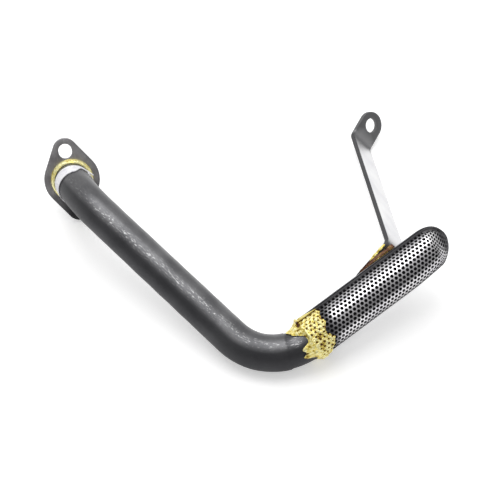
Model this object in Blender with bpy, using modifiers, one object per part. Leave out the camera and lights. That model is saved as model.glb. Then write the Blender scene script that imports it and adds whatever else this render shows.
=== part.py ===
"""Engine oil pickup tube, modelled as it lies on a flat surface.

A bent steel tube runs from a two-bolt flange to a half-round strainer: a perforated screen over
a solid pan. A folded strap on the back of the pan steadies the strainer on the engine. The
joints are brazed. All sizes are in metres, +Z is up, and the origin is under the middle of the
part, on the surface that it lies on.
"""

import math

import bmesh
import bpy
from mathutils import Matrix, Vector
from mathutils.geometry import delaunay_2d_cdt

MM = 0.001

# Clearance that neighbouring pieces keep where braze fills the joint on the real part.
GAP = 0.3 * MM

# Tube. A heading is turned from +X about +Z, a climb is above the surface, in degrees.
TUBE_RADIUS = 11.0 * MM
TUBE_WALL = 1.6 * MM
TUBE_SIDES = 28
FLANGE_HEADING, FLANGE_CLIMB, FLANGE_ROLL = -76.6, 35.9, 3.7
RUN_HEADING, RUN_CLIMB = -42.5, -12.8
STRAINER_HEADING, STRAINER_CLIMB, STRAINER_ROLL = 33.2, 15.9, 62.4
STUB_LENGTH = 5.2 * MM
FIRST_BEND_RADIUS = 49.0 * MM
RUN_LENGTH = 104.7 * MM
SECOND_BEND_RADIUS = 35.5 * MM
TUBE_INSERT = 12.0 * MM
BEND_STEP = 8.0

# Flange plate, with a bolt slot above and below the bore.
FLANGE_THICKNESS = 3.0 * MM
BOLT_HOLE_RADIUS = 4.2 * MM
BOLT_SLOT_TRAVEL = 1.2 * MM
FLANGE_WEB = 2.5 * MM
LOBE_MARGIN = 3.5 * MM
BODY_MARGIN = 6.2 * MM
TUBE_RECESS = 0.4 * MM
ARC_STEP = 15.0

# Braze fillet round the tube on the flange.
FILLET_LEG = 1.6 * MM
FILLET_HEIGHT = 3.6 * MM
# Its outer corners, as shares of the leg and of the height, from the tube down to the plate.
FILLET_CORNERS = [(0.0, 1.0), (0.35, 0.86), (0.8, 0.5), (1.0, 0.0)]

# White band wrapped round the tube, with a loose end.
BAND_START = 10.0 * MM
BAND_WIDTH = 9.0 * MM
BAND_THICKNESS = 0.5 * MM
BAND_LOOSE_END = 7.0 * MM
BAND_LEAVES_AT = -45.0
BAND_SEAM = 12.0

# Strainer. The perforated sheet is half a tube with a quarter-round tip, on a straight skirt.
STRAINER_LENGTH = 101.6 * MM
SCREEN_SHEET = 0.8 * MM
SKIRT_HEIGHT = 3.9 * MM
LIP_WIDTH = 1.5 * MM
HOLE_ACROSS = 3.1 * MM
HOLE_WEB = 1.3 * MM
SCREEN_BORDER = 0.6 * MM
MOUTH_FACETS = 20
PAN_WALL = 1.0 * MM
PAN_CORNER_RADIUS = 7.0 * MM
PAN_CORNER_STEP = 18.0
PAN_TIP_STEPS = 8

# The tip leans back towards the crest, and the dome grows lower and narrower before it, by
# these shares at the crest. The rim keeps its half-round plan.
TIP_RAKE = 0.6
TIP_TAPER = 0.2
TIP_TAPER_LENGTH = 26.0 * MM

# Braze over the strainer's root. Its tail down the tube has a shoulder part of the way back, at
# this share of the tail's length and of the step from the tube to the strainer.
BRAZE_BUILD_UP = 0.9 * MM
SHOULDER_BACK = 0.45
SHOULDER_RISE = 0.6

# Braze wedge under the strap's foot: how high it climbs the pan's corner, in degrees below the
# corner's side, at shares of the foot's length from the fold to the foot's end.
WEDGE_CLIMB = [(0.04, 30.0), (0.25, 38.0), (0.5, 34.0), (0.75, 44.0), (0.97, 54.0)]
WEDGE_BLUNTING = 3.0
WEDGE_LEAN = 0.8 * MM
WEDGE_FACETS = 3

# Support strap: foot on the pan, leg, and a tab with a bolt hole.
STRAP_WIDTH = 18.2 * MM
STRAP_THICKNESS = 2.8 * MM
STRAP_BEND_RADIUS = 4.2 * MM
FOOT_LENGTH = 27.0 * MM
FOOT_FROM_TIP = 26.65 * MM
FOOT_ASIDE = 5.6 * MM
FOOT_TURN = 15.4
LEG_LENGTH = 115.0 * MM
LEG_BEND = 68.25
TAB_LENGTH = 14.1 * MM
TAB_BEND = -48.6
STRAP_HOLE_RADIUS = 4.8 * MM
FOLD_CUTS = 4

# Sizes that follow from those above.
BORE_RADIUS = TUBE_RADIUS + GAP
BOLT_OFFSET = BORE_RADIUS + FLANGE_WEB + BOLT_SLOT_TRAVEL + BOLT_HOLE_RADIUS
DOME_RADIUS = TUBE_RADIUS + GAP + SCREEN_SHEET
STRAIGHT_LENGTH = STRAINER_LENGTH - DOME_RADIUS
PAN_BOTTOM = TUBE_RADIUS + GAP + PAN_WALL
PAN_CORNER = min(PAN_CORNER_RADIUS, PAN_BOTTOM - SKIRT_HEIGHT - GAP - PAN_WALL)
HOLE_PITCH = HOLE_ACROSS + HOLE_WEB
WELD = 1e-7
SHARP_ANGLE = 35.0
LOOK_AHEAD = 0.01 * MM


def remove_startup_objects():
    """Empties the scene."""
    for obj in list(bpy.data.objects):
        bpy.data.objects.remove(obj, do_unlink=True)


def collection(name):
    """Makes a collection in the scene."""
    made = bpy.data.collections.new(name)
    bpy.context.scene.collection.children.link(made)
    return made


def material(name, colour, roughness, metallic):
    """Makes a Principled material."""
    made = bpy.data.materials.new(name)
    made.use_nodes = True
    shader = made.node_tree.nodes["Principled BSDF"]
    shader.inputs["Base Color"].default_value = (*colour, 1.0)
    shader.inputs["Roughness"].default_value = roughness
    shader.inputs["Metallic"].default_value = metallic
    made.diffuse_color = (*colour, 1.0)
    return made


def place(name, mesh, finish, parent):
    """Puts a mesh in the part's collection, under its frame, with its material."""
    mesh.name = name
    mesh.materials.clear()
    mesh.materials.append(finish)
    mesh.shade_smooth()
    mesh.set_sharp_from_angle(angle=math.radians(SHARP_ANGLE))
    obj = bpy.data.objects.new(name, mesh)
    PARTS.objects.link(obj)
    obj.parent = parent
    return obj


def frame(name, parent, location=(0, 0, 0), rotation=(0, 0, 0)):
    """Makes an empty that carries pieces; rotation is in degrees."""
    empty = bpy.data.objects.new(name, None)
    PARTS.objects.link(empty)
    empty.parent = parent
    empty.location = location
    empty.rotation_euler = [math.radians(angle) for angle in rotation]
    return empty


def heading_vector(heading, climb):
    """Unit vector with this heading and climb, in degrees."""
    turn, rise = math.radians(heading), math.radians(climb)
    return Vector(
        (math.cos(rise) * math.cos(turn), math.cos(rise) * math.sin(turn), math.sin(rise))
    )


def solidify(obj, thickness, offset=-1.0):
    """Gives an open sheet its thickness; offset -1 grows it inwards."""
    wall = obj.modifiers.new("wall", "SOLIDIFY")
    wall.thickness = thickness
    wall.offset = offset
    wall.use_even_offset = True


def mesh_from_curve(curve, name):
    """The mesh that a curve draws, with its caps welded on."""
    guide = bpy.data.objects.new(name + "_guide", curve)
    bpy.context.scene.collection.objects.link(guide)
    graph = bpy.context.evaluated_depsgraph_get()
    mesh = bpy.data.meshes.new_from_object(guide.evaluated_get(graph))
    bpy.data.objects.remove(guide, do_unlink=True)
    body = bmesh.new()
    body.from_mesh(mesh)
    bmesh.ops.remove_doubles(body, verts=body.verts, dist=WELD)
    body.to_mesh(mesh)
    body.free()
    return mesh


def plate_from_outlines(name, outlines, thickness):
    """A flat plate about z = 0; the first outline is its edge and the others are holes."""
    curve = bpy.data.curves.new(name, "CURVE")
    curve.dimensions = "2D"
    curve.fill_mode = "BOTH"
    curve.extrude = thickness / 2
    for outline in outlines:
        spline = curve.splines.new("POLY")
        spline.points.add(len(outline) - 1)
        for point, (x, y) in zip(spline.points, outline):
            point.co = (x, y, 0, 1)
        spline.use_cyclic_u = True
    return mesh_from_curve(curve, name)


def arc(centre_x, centre_y, radius, start, end, step=ARC_STEP, count=0):
    """Points on an arc, from angle start to angle end in degrees, by step or by count."""
    count = count or max(2, math.ceil(abs(end - start) / step))
    angles = [math.radians(start + (end - start) * i / count) for i in range(count + 1)]
    return [(centre_x + radius * math.cos(a), centre_y + radius * math.sin(a)) for a in angles]


def grid_mesh(name, rows, close_columns=False):
    """A sheet of quads through rows of points; the last row may join the first."""
    body = bmesh.new()
    verts = [[body.verts.new(point) for point in row] for row in rows]
    pairs = list(zip(verts, verts[1:]))
    if close_columns:
        pairs.append((verts[-1], verts[0]))
    for row, following in pairs:
        for i in range(len(row) - 1):
            body.faces.new((row[i], following[i], following[i + 1], row[i + 1]))
    mesh = bpy.data.meshes.new(name)
    body.to_mesh(mesh)
    body.free()
    return mesh


def bend_points(start, incoming, outgoing, radius):
    """Centre-line points of a round bend that turns one direction into another."""
    angle = incoming.angle(outgoing)
    axis = incoming.cross(outgoing).normalized()
    centre = start + axis.cross(incoming) * radius
    count = math.ceil(math.degrees(angle) / BEND_STEP)
    turns = [Matrix.Rotation(angle * i / count, 3, axis) for i in range(count + 1)]
    return [centre + turn @ (start - centre) for turn in turns]


def tube_route():
    """Centre line of the tube from the flange's mating side, and where its last bend ends."""
    stub = heading_vector(FLANGE_HEADING, FLANGE_CLIMB)
    run = heading_vector(RUN_HEADING, RUN_CLIMB)
    outlet = heading_vector(STRAINER_HEADING, STRAINER_CLIMB)
    mouth = -stub * (FLANGE_THICKNESS - TUBE_RECESS)
    first = bend_points(stub * STUB_LENGTH, stub, run, FIRST_BEND_RADIUS)
    second = bend_points(first[-1] + run * RUN_LENGTH, run, outlet, SECOND_BEND_RADIUS)
    end = second[-1] + outlet * TUBE_INSERT
    return [mouth, *first, *second, end], second[-1]


def make_tube(route, parent):
    """The bent tube: a round sheet carried along its centre line, thickened inwards."""
    curve = bpy.data.curves.new("tube", "CURVE")
    curve.dimensions = "3D"
    curve.bevel_depth = TUBE_RADIUS
    curve.bevel_resolution = (TUBE_SIDES - 4) // 2
    spline = curve.splines.new("POLY")
    spline.points.add(len(route) - 1)
    for point, place_on_route in zip(spline.points, route):
        point.co = (*place_on_route, 1)
    tube = place("tube", mesh_from_curve(curve, "tube"), DARK_STEEL, parent)
    solidify(tube, TUBE_WALL)
    return tube


def flange_outline():
    """Rhombic outline: a round lobe at each end of the long side and a round body between."""
    lobe = BOLT_HOLE_RADIUS + LOBE_MARGIN
    body = BORE_RADIUS + BODY_MARGIN
    slant = math.degrees(math.acos((body - lobe) / BOLT_OFFSET))
    return (
        arc(BOLT_OFFSET, 0, lobe, -slant, slant)
        + arc(0, 0, body, slant, 180 - slant)
        + arc(-BOLT_OFFSET, 0, lobe, 180 - slant, 180 + slant)
        + arc(0, 0, body, 180 + slant, 360 - slant)
    )


def bolt_slot(side):
    """A bolt hole drawn out towards the bore, above the bore for side 1 and below for -1."""
    inner = BOLT_OFFSET - BOLT_SLOT_TRAVEL
    outline = arc(BOLT_OFFSET, 0, BOLT_HOLE_RADIUS, -90, 90)
    outline += arc(inner, 0, BOLT_HOLE_RADIUS, 90, 270)
    return [(side * x, side * y) for x, y in outline]


def make_flange(parent):
    """The mounting plate, square to the tube's first stretch."""
    bore = arc(0, 0, BORE_RADIUS, 0, 360, 360 / TUBE_SIDES)[:-1]
    outlines = [flange_outline(), bore, bolt_slot(1), bolt_slot(-1)]
    mesh = plate_from_outlines("flange", outlines, FLANGE_THICKNESS)
    flange = place("flange", mesh, PLATE_STEEL, parent)
    flange.location.x = -FLANGE_THICKNESS / 2
    flange.rotation_euler.y = math.radians(90)
    return flange


def make_flange_braze(parent):
    """The braze fillet: its section is turned round the tube."""
    section = [(BORE_RADIUS + x * FILLET_LEG, GAP + z * FILLET_HEIGHT) for x, z in FILLET_CORNERS]
    section.append((BORE_RADIUS, GAP))
    body = bmesh.new()
    verts = [body.verts.new((radius, 0, z)) for radius, z in section]
    for first, second in zip(verts, verts[1:] + verts[:1]):
        body.edges.new((first, second))
    mesh = bpy.data.meshes.new("flange_braze")
    body.to_mesh(mesh)
    body.free()
    ring = place("flange_braze", mesh, BRAZE, parent)
    ring.rotation_euler.y = math.radians(90)
    turn = ring.modifiers.new("turn", "SCREW")
    turn.steps = turn.render_steps = TUBE_SIDES
    turn.use_merge_vertices = True
    turn.merge_threshold = WELD
    return ring


def make_band(parent):
    """The white band: a thin strip wrapped once round the first bend, its end standing off."""
    stub = heading_vector(FLANGE_HEADING, FLANGE_CLIMB)
    run = heading_vector(RUN_HEADING, RUN_CLIMB)
    axis = stub.cross(run).normalized()
    centre = stub * STUB_LENGTH + axis.cross(stub) * FIRST_BEND_RADIUS
    rows = []
    for part_way in (0.0, 0.5, 1.0):
        travel = BAND_START + BAND_WIDTH * part_way - STUB_LENGTH
        turn = Matrix.Rotation(travel / FIRST_BEND_RADIUS, 3, axis)
        middle = centre + turn @ (stub * STUB_LENGTH - centre)
        ahead = turn @ stub
        up = (Vector((0, 0, 1)) - ahead * ahead.z).normalized()
        side = ahead.cross(up)
        row = []
        wrap = 360 - BAND_SEAM
        count = math.ceil(wrap / ARC_STEP)
        for i in range(count + 1):
            angle = math.radians(BAND_LEAVES_AT + wrap * (1 - i / count))
            row.append(middle + (up * math.cos(angle) + side * math.sin(angle)) * BORE_RADIUS)
        leaves = math.radians(BAND_LEAVES_AT)
        away = up * math.sin(leaves) - side * math.cos(leaves)
        row.append(row[-1] + away * BAND_LOOSE_END)
        rows.append(row)
    band = place("tag_band", grid_mesh("tag_band", rows), WHITE_BAND, parent)
    solidify(band, BAND_THICKNESS, 1.0)
    return band


def sheet_to_screen(along, across, skirt):
    """Wraps a point of the flat perforated sheet over the half tube and its round tip.

    reach is the distance over the sheet from the crest line, or from the crest's end at the
    tip. The first quarter turn of it follows the radius, then comes the skirt, then the lip.
    The higher a point lies over the rim, the more the tip's rake and taper draw it in.
    """
    past = max(along - STRAIGHT_LENGTH, 0.0)
    reach = math.hypot(past, across)
    bearing = math.atan2(across, past)
    quarter = DOME_RADIUS * math.pi / 2
    if reach <= quarter:
        out = DOME_RADIUS * math.sin(reach / DOME_RADIUS)
        height = DOME_RADIUS * math.cos(reach / DOME_RADIUS)
    else:
        out = DOME_RADIUS + max(reach - quarter - skirt, 0.0)
        height = -min(reach - quarter, skirt)
    high = max(height, 0.0) / DOME_RADIUS
    near = min(max((along - STRAIGHT_LENGTH) / TIP_TAPER_LENGTH + 1.0, 0.0), 1.0)
    drawn_in = 1.0 - TIP_TAPER * near**2 * high
    ahead = out * math.cos(bearing) * (1.0 - TIP_RAKE * high)
    start = Vector((min(along, STRAIGHT_LENGTH), 0.0, 0.0))
    return start + Vector((ahead, out * math.sin(bearing), height)) * drawn_in


def sheet_outline(half_width, step):
    """Edge of the flat sheet at this half width: two straight sides and a half-round tip."""
    count = math.ceil(STRAIGHT_LENGTH / step)
    side = [(STRAIGHT_LENGTH * i / count, -half_width) for i in range(count)]
    tip = arc(STRAIGHT_LENGTH, 0, half_width, -90, 90, math.degrees(step / DOME_RADIUS) / 2)
    return side + tip + [(x, -y) for x, y in reversed(side)]


def hole_centres(half_width):
    """Staggered rows of holes that stay inside the plain border."""
    room = half_width - SCREEN_BORDER - HOLE_ACROSS / 2
    row_step = HOLE_PITCH * math.sqrt(3) / 2
    first = SCREEN_BORDER + HOLE_ACROSS / 2
    centres = []
    rows = int(room / row_step)
    for row in range(-rows, rows + 1):
        across = row * row_step
        columns = int((STRAIGHT_LENGTH + half_width) / HOLE_PITCH) + 1
        for column in range(columns):
            along = first + (column + (row % 2) / 2) * HOLE_PITCH
            if math.hypot(max(along - STRAIGHT_LENGTH, 0.0), across) <= room:
                centres.append((along, across))
    return centres


def hexagon(centre):
    """Closed outline of a hole whose flats face the six neighbouring holes."""
    radius = HOLE_ACROSS / math.sqrt(3)
    return arc(*centre, radius, 30, 390, 60)


def in_a_hole(point, centres):
    """Whether a point of the flat sheet lies inside one of the hexagonal holes."""
    near = min(centres, key=lambda centre: math.dist(point, centre))
    offset = Vector((point[0] - near[0], point[1] - near[1]))
    flats = [Vector((math.cos(a), math.sin(a))) for a in (0, math.pi / 3, 2 * math.pi / 3)]
    return max(abs(offset.dot(flat)) for flat in flats) < HOLE_ACROSS / 2


def make_screen(parent):
    """The perforated sheet: triangulated flat round its holes, then wrapped and thickened."""
    skirt = SKIRT_HEIGHT - SCREEN_SHEET
    fold = DOME_RADIUS * math.pi / 2 + skirt
    centres = hole_centres(fold)
    mouth = [(0.0, fold * (2 * i / MOUTH_FACETS - 1)) for i in range(MOUTH_FACETS + 1)]
    rims = [sheet_outline(width, HOLE_PITCH) for width in (fold, fold + LIP_WIDTH)]
    points, edges = [], []
    for chain in (mouth, *rims, *(hexagon(centre) for centre in centres)):
        start = len(points)
        points += [Vector(point) for point in chain]
        edges += [(start + i, start + i + 1) for i in range(len(chain) - 1)]
    flat, _, faces, _, _, _ = delaunay_2d_cdt(points, edges, [], 0, WELD)
    body = bmesh.new()
    verts = [body.verts.new(sheet_to_screen(p.x, p.y, skirt)) for p in flat]
    for corners in faces:
        middle = sum((flat[i] for i in corners), Vector((0, 0))) / len(corners)
        if not in_a_hole(middle, centres):
            body.faces.new([verts[i] for i in corners])
    mesh = bpy.data.meshes.new("strainer_screen")
    body.to_mesh(mesh)
    body.free()
    screen = place("strainer_screen", mesh, SCREEN_STEEL, parent)
    solidify(screen, SCREEN_SHEET)
    return screen


def pan_section():
    """Outer profile of the pan from its middle out to its lip, as (out, height)."""
    centre = (DOME_RADIUS - PAN_CORNER, PAN_CORNER - PAN_BOTTOM)
    corner = arc(*centre, PAN_CORNER, -90, 0, PAN_CORNER_STEP)
    rim = -SKIRT_HEIGHT - GAP - PAN_WALL
    return [(0.0, -PAN_BOTTOM), *corner, (DOME_RADIUS, rim), (DOME_RADIUS + LIP_WIDTH, rim)]


def make_pan(parent):
    """The solid pan: half of it is one straight side and a quarter-turned tip, then mirrored."""
    body = bmesh.new()
    chain = [body.verts.new((STRAIGHT_LENGTH, out, height)) for out, height in pan_section()]
    edges = [body.edges.new(pair) for pair in zip(chain, chain[1:])]
    side = bmesh.ops.extrude_edge_only(body, edges=edges)["geom"]
    moved = [item for item in side if isinstance(item, bmesh.types.BMVert)]
    bmesh.ops.translate(body, verts=moved, vec=(-STRAIGHT_LENGTH, 0, 0))
    bmesh.ops.spin(
        body, geom=chain + edges, cent=(STRAIGHT_LENGTH, 0, 0), axis=(0, 0, 1),
        angle=math.radians(-90), steps=PAN_TIP_STEPS, use_duplicate=False,
    )
    bmesh.ops.remove_doubles(body, verts=body.verts, dist=WELD)
    bmesh.ops.recalc_face_normals(body, faces=body.faces)
    lowest = min(body.faces, key=lambda face: face.calc_center_median().z)
    if lowest.normal.z > 0:
        bmesh.ops.reverse_faces(body, faces=body.faces)
    mesh = bpy.data.meshes.new("strainer_pan")
    body.to_mesh(mesh)
    body.free()
    pan = place("strainer_pan", mesh, PAN_STEEL, parent)
    mirror = pan.modifiers.new("other_side", "MIRROR")
    mirror.use_axis = (False, True, False)
    mirror.merge_threshold = WELD
    solidify(pan, PAN_WALL)
    return pan


def section_radius(angle):
    """Distance from the tube's axis to the strainer's outside, at an angle from its crest."""
    across, up = abs(math.sin(angle)), math.cos(angle)
    if up >= 0:
        return DOME_RADIUS
    inner_x, inner_z = DOME_RADIUS - PAN_CORNER, PAN_CORNER - PAN_BOTTOM
    if DOME_RADIUS / across * up >= inner_z:
        return DOME_RADIUS / across
    if PAN_BOTTOM / -up * across <= inner_x:
        return PAN_BOTTOM / -up
    forward = across * inner_x + up * inner_z
    return forward + math.sqrt(forward**2 - inner_x**2 - inner_z**2 + PAN_CORNER**2)


# Ragged edge of the braze over the strainer's root: angle from the crest in degrees, how far it
# runs back along the tube, and how far forward over the screen (0 where it stops at the mouth).
BRAZE_EDGE = [
    (-101.5, 6.0, 0.0), (-98, 6.5, 3.0), (-86, 7.0, 6.0), (-73, 7.5, 8.0), (-60, 7.6, 9.0),
    (-47, 6.0, 10.5), (-34, 4.5, 12.5), (-21, 3.0, 12.0), (-8, 1.8, 13.8), (5, 1.6, 13.5),
    (18, 1.5, 14.6), (31, 1.6, 13.9), (44, 1.8, 14.8), (57, 2.4, 14.2), (70, 4.0, 15.0),
    (83, 5.5, 14.2), (98, 7.7, 14.8), (101.5, 7.0, 0.0), (115, 5.0, 0.0), (130, 4.0, 0.0),
    (145, 3.5, 0.0), (163, 3.0, 0.0), (180, 3.0, 0.0), (197, 3.0, 0.0), (215, 3.5, 0.0),
    (230, 4.0, 0.0), (245, 5.0, 0.0),
]


def elbow_follower(parent):
    """A function that bends a point behind the strainer's mouth back along the tube's elbow."""
    run = heading_vector(RUN_HEADING, RUN_CLIMB)
    outlet = heading_vector(STRAINER_HEADING, STRAINER_CLIMB)
    axis = run.cross(outlet).normalized()
    to_strainer = parent.rotation_euler.to_matrix().inverted()
    centre = to_strainer @ (axis.cross(outlet) * SECOND_BEND_RADIUS)
    axis = to_strainer @ axis

    def follow(along, out, height):
        turn = Matrix.Rotation(min(along, 0.0) / SECOND_BEND_RADIUS, 3, axis)
        return centre + turn @ (Vector((max(along, 0.0), out, height)) - centre)

    return follow


def make_strainer_braze(parent):
    """Braze collar: a fillet from the tube to the strainer's mouth that laps over the screen."""
    follow = elbow_follower(parent)
    rows = []
    for degrees, back, forward in BRAZE_EDGE:
        angle = math.radians(degrees)
        radius = section_radius(angle)
        front = forward * MM if forward else -GAP
        seat = radius + GAP
        top = seat + BRAZE_BUILD_UP if forward else seat
        slope = BORE_RADIUS + SHOULDER_RISE * (top - BORE_RADIUS)
        shoulder = (-SHOULDER_BACK * back * MM, slope)
        profile = [(-GAP, BORE_RADIUS), (-back * MM, BORE_RADIUS), shoulder]
        profile += [(-GAP, top), (front, top), (front, seat), (-GAP, seat), (-GAP, BORE_RADIUS)]
        rows.append([follow(x, r * math.sin(angle), r * math.cos(angle)) for x, r in profile])
    mesh = grid_mesh("strainer_braze", rows, close_columns=True)
    body = bmesh.new()
    body.from_mesh(mesh)
    bmesh.ops.remove_doubles(body, verts=body.verts, dist=WELD)
    bmesh.ops.dissolve_degenerate(body, edges=body.edges, dist=WELD)
    bmesh.ops.triangulate(body, faces=body.faces)
    bmesh.ops.recalc_face_normals(body, faces=body.faces)
    body.to_mesh(mesh)
    body.free()
    return place("strainer_braze", mesh, BRAZE, parent)


def fold_point(developed, across, folds):
    """Carries a point of the flat strap blank along the folded strap.

    folds lists each fold as (where its arc starts on the blank, its angle); the strap turns
    from +X towards +Z on a centre-line radius, and runs straight between folds.
    """
    here = Vector((0.0, 0.0))
    angle, done = 0.0, 0.0
    for start, turn in folds:
        straight = min(developed, start) - done
        here += Vector((math.cos(angle), math.sin(angle))) * max(straight, 0.0)
        if developed <= start:
            return Vector((here.x, across, here.y))
        arc_length = abs(turn) * STRAP_BEND_RADIUS
        part = min(developed - start, arc_length) / arc_length
        sign = math.copysign(1.0, turn)
        inward = Vector((-math.sin(angle), math.cos(angle))) * sign * STRAP_BEND_RADIUS
        centre = here + inward
        angle += turn * part
        here = centre + Vector((math.sin(angle), -math.cos(angle))) * sign * STRAP_BEND_RADIUS
        done = start + arc_length
    here += Vector((math.cos(angle), math.sin(angle))) * max(developed - done, 0.0)
    return Vector((here.x, across, here.y))


def make_strap(parent):
    """The support strap: a flat blank with a round end and a hole, cut at its folds and bent."""
    first_turn, second_turn = math.radians(LEG_BEND), math.radians(TAB_BEND)
    first_setback = STRAP_BEND_RADIUS * math.tan(abs(first_turn) / 2)
    second_setback = STRAP_BEND_RADIUS * math.tan(abs(second_turn) / 2)
    first_start = FOOT_LENGTH - first_setback
    first_end = first_start + abs(first_turn) * STRAP_BEND_RADIUS
    second_start = first_end + LEG_LENGTH - first_setback - second_setback
    second_end = second_start + abs(second_turn) * STRAP_BEND_RADIUS
    hole_at = second_end + TAB_LENGTH - second_setback
    half = STRAP_WIDTH / 2
    blank = [(0.0, -half), *arc(hole_at, 0, half, -90, 90), (0.0, half)]
    hole = arc(hole_at, 0, STRAP_HOLE_RADIUS, 0, 360)[:-1]
    mesh = plate_from_outlines("bracket", [blank, hole], STRAP_THICKNESS)
    body = bmesh.new()
    body.from_mesh(mesh)
    for start, end in ((first_start, first_end), (second_start, second_end)):
        for i in range(FOLD_CUTS + 1):
            cut = start + (end - start) * i / FOLD_CUTS
            everything = body.verts[:] + body.edges[:] + body.faces[:]
            bmesh.ops.bisect_plane(
                body, geom=everything, dist=WELD, plane_co=(cut, 0, 0), plane_no=(1, 0, 0)
            )
    folds = [(first_start, first_turn), (second_start, second_turn)]
    corner = fold_point(first_start, 0.0, folds) + Vector((first_setback, 0, 0))
    for vert in body.verts:
        middle = fold_point(vert.co.x, vert.co.y, folds)
        ahead = fold_point(vert.co.x + LOOK_AHEAD, vert.co.y, folds) - middle
        normal = Vector((-ahead.z, 0, ahead.x)).normalized()
        vert.co = middle + normal * vert.co.z - corner
    bmesh.ops.triangulate(body, faces=[face for face in body.faces if len(face.verts) > 4])
    body.to_mesh(mesh)
    body.free()
    return place("bracket", mesh, STRAP_STEEL, parent)


def make_strap_braze(parent):
    """Braze run in the wedge between the strap's foot and the pan's round corner."""
    centre_y, centre_z = DOME_RADIUS - PAN_CORNER, PAN_CORNER - PAN_BOTTOM
    seat = PAN_CORNER + GAP
    thin_end = math.degrees(math.asin(PAN_CORNER / seat)) - WEDGE_BLUNTING
    bend = STRAINER_LENGTH - FOOT_FROM_TIP
    body = bmesh.new()
    rings = []
    for share, climb in WEDGE_CLIMB:
        along = bend - share * FOOT_LENGTH
        section = arc(centre_y, centre_z, seat, -thin_end, -climb, count=WEDGE_FACETS)
        outer = section[-1][0] + WEDGE_LEAN
        section += [(outer, -PAN_BOTTOM), (section[0][0], -PAN_BOTTOM)]
        rings.append([body.verts.new((along, y, z)) for y, z in section])
    for ring, following in zip(rings, rings[1:]):
        for i in range(len(ring)):
            j = (i + 1) % len(ring)
            body.faces.new((ring[i], ring[j], following[j], following[i]))
    body.faces.new(rings[0])
    body.faces.new(rings[-1])
    bmesh.ops.triangulate(body, faces=body.faces)
    bmesh.ops.recalc_face_normals(body, faces=body.faces)
    mesh = bpy.data.meshes.new("bracket_braze")
    body.to_mesh(mesh)
    body.free()
    return place("bracket_braze", mesh, BRAZE, parent)


def shift_to_rest(root):
    """Moves the whole part so that it lies on z = 0 with its box centred on the origin."""
    bpy.context.view_layer.update()
    graph = bpy.context.evaluated_depsgraph_get()
    corners = []
    for obj in PARTS.objects:
        if obj.type == "MESH":
            seen = obj.evaluated_get(graph)
            corners += [seen.matrix_world @ vert.co for vert in seen.data.vertices]
    low = [min(corner[axis] for corner in corners) for axis in range(3)]
    high = [max(corner[axis] for corner in corners) for axis in range(3)]
    root.location = (-(low[0] + high[0]) / 2, -(low[1] + high[1]) / 2, -low[2])


remove_startup_objects()
PARTS = collection("oil_pickup_tube")
DARK_STEEL = material("dark_steel", (0.075, 0.078, 0.085), 0.42, 0.6)
PLATE_STEEL = material("plate_steel", (0.16, 0.16, 0.165), 0.5, 0.7)
SCREEN_STEEL = material("screen_steel", (0.30, 0.30, 0.32), 0.35, 0.9)
PAN_STEEL = material("pan_steel", (0.12, 0.12, 0.13), 0.45, 0.8)
STRAP_STEEL = material("strap_steel", (0.42, 0.42, 0.44), 0.45, 0.8)
BRAZE = material("braze", (0.75, 0.55, 0.16), 0.4, 0.9)
WHITE_BAND = material("white_band", (0.85, 0.85, 0.87), 0.5, 0.0)

rest = frame("rest", None)
flange_frame = frame("flange_frame", rest, rotation=(FLANGE_ROLL, -FLANGE_CLIMB, FLANGE_HEADING))
centre_line, strainer_root = tube_route()
strainer_frame = frame(
    "strainer_frame", rest, strainer_root, (STRAINER_ROLL, -STRAINER_CLIMB, STRAINER_HEADING)
)
strap_depth = PAN_BOTTOM + GAP + STRAP_THICKNESS / 2
strap_frame = frame(
    "strap_frame",
    strainer_frame,
    (STRAINER_LENGTH - FOOT_FROM_TIP, FOOT_ASIDE, -strap_depth),
    (180, 0, FOOT_TURN),
)
make_tube(centre_line, rest)
make_flange(flange_frame)
make_flange_braze(flange_frame)
make_band(rest)
make_screen(strainer_frame)
make_pan(strainer_frame)
make_strainer_braze(strainer_frame)
make_strap(strap_frame)
make_strap_braze(strainer_frame)
shift_to_rest(rest)
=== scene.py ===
# %% [markdown]
# # Dressing an oil pickup tube
# The object is a bent steel tube that carries oil from an engine's sump to its pump. One end has
# a two-bolt flange, the other a half-round strainer with a perforated screen, and a folded strap
# holds the strainer still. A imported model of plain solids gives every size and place. This
# lesson makes the fine surface of each piece with numpy, and then its finish with shader nodes.

# %% Load the frame
import math

import bmesh
import bpy
import numpy as np
from mathutils import Euler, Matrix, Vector
from mathutils.geometry import delaunay_2d_cdt


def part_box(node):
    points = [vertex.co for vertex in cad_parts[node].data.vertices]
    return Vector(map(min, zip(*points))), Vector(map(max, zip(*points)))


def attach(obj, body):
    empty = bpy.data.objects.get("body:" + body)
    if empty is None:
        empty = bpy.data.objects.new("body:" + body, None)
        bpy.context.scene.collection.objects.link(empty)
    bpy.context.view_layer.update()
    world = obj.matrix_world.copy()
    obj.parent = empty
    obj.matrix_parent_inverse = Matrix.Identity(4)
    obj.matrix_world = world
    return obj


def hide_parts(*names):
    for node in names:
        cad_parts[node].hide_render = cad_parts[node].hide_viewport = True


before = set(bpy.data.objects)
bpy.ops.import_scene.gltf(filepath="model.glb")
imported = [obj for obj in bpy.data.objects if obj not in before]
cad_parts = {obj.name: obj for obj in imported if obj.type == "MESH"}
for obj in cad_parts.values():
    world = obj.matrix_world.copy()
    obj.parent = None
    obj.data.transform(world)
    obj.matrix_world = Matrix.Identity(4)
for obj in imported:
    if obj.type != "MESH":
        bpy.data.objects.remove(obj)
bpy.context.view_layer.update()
print("solids:", ", ".join(sorted(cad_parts)))

# %% [markdown]
# ## Sizes
# The dress has to lie where the solids lie, so it starts from the same sizes. Each is written
# once, in metres. What follows from them is worked out beside the piece that needs it.

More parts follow.
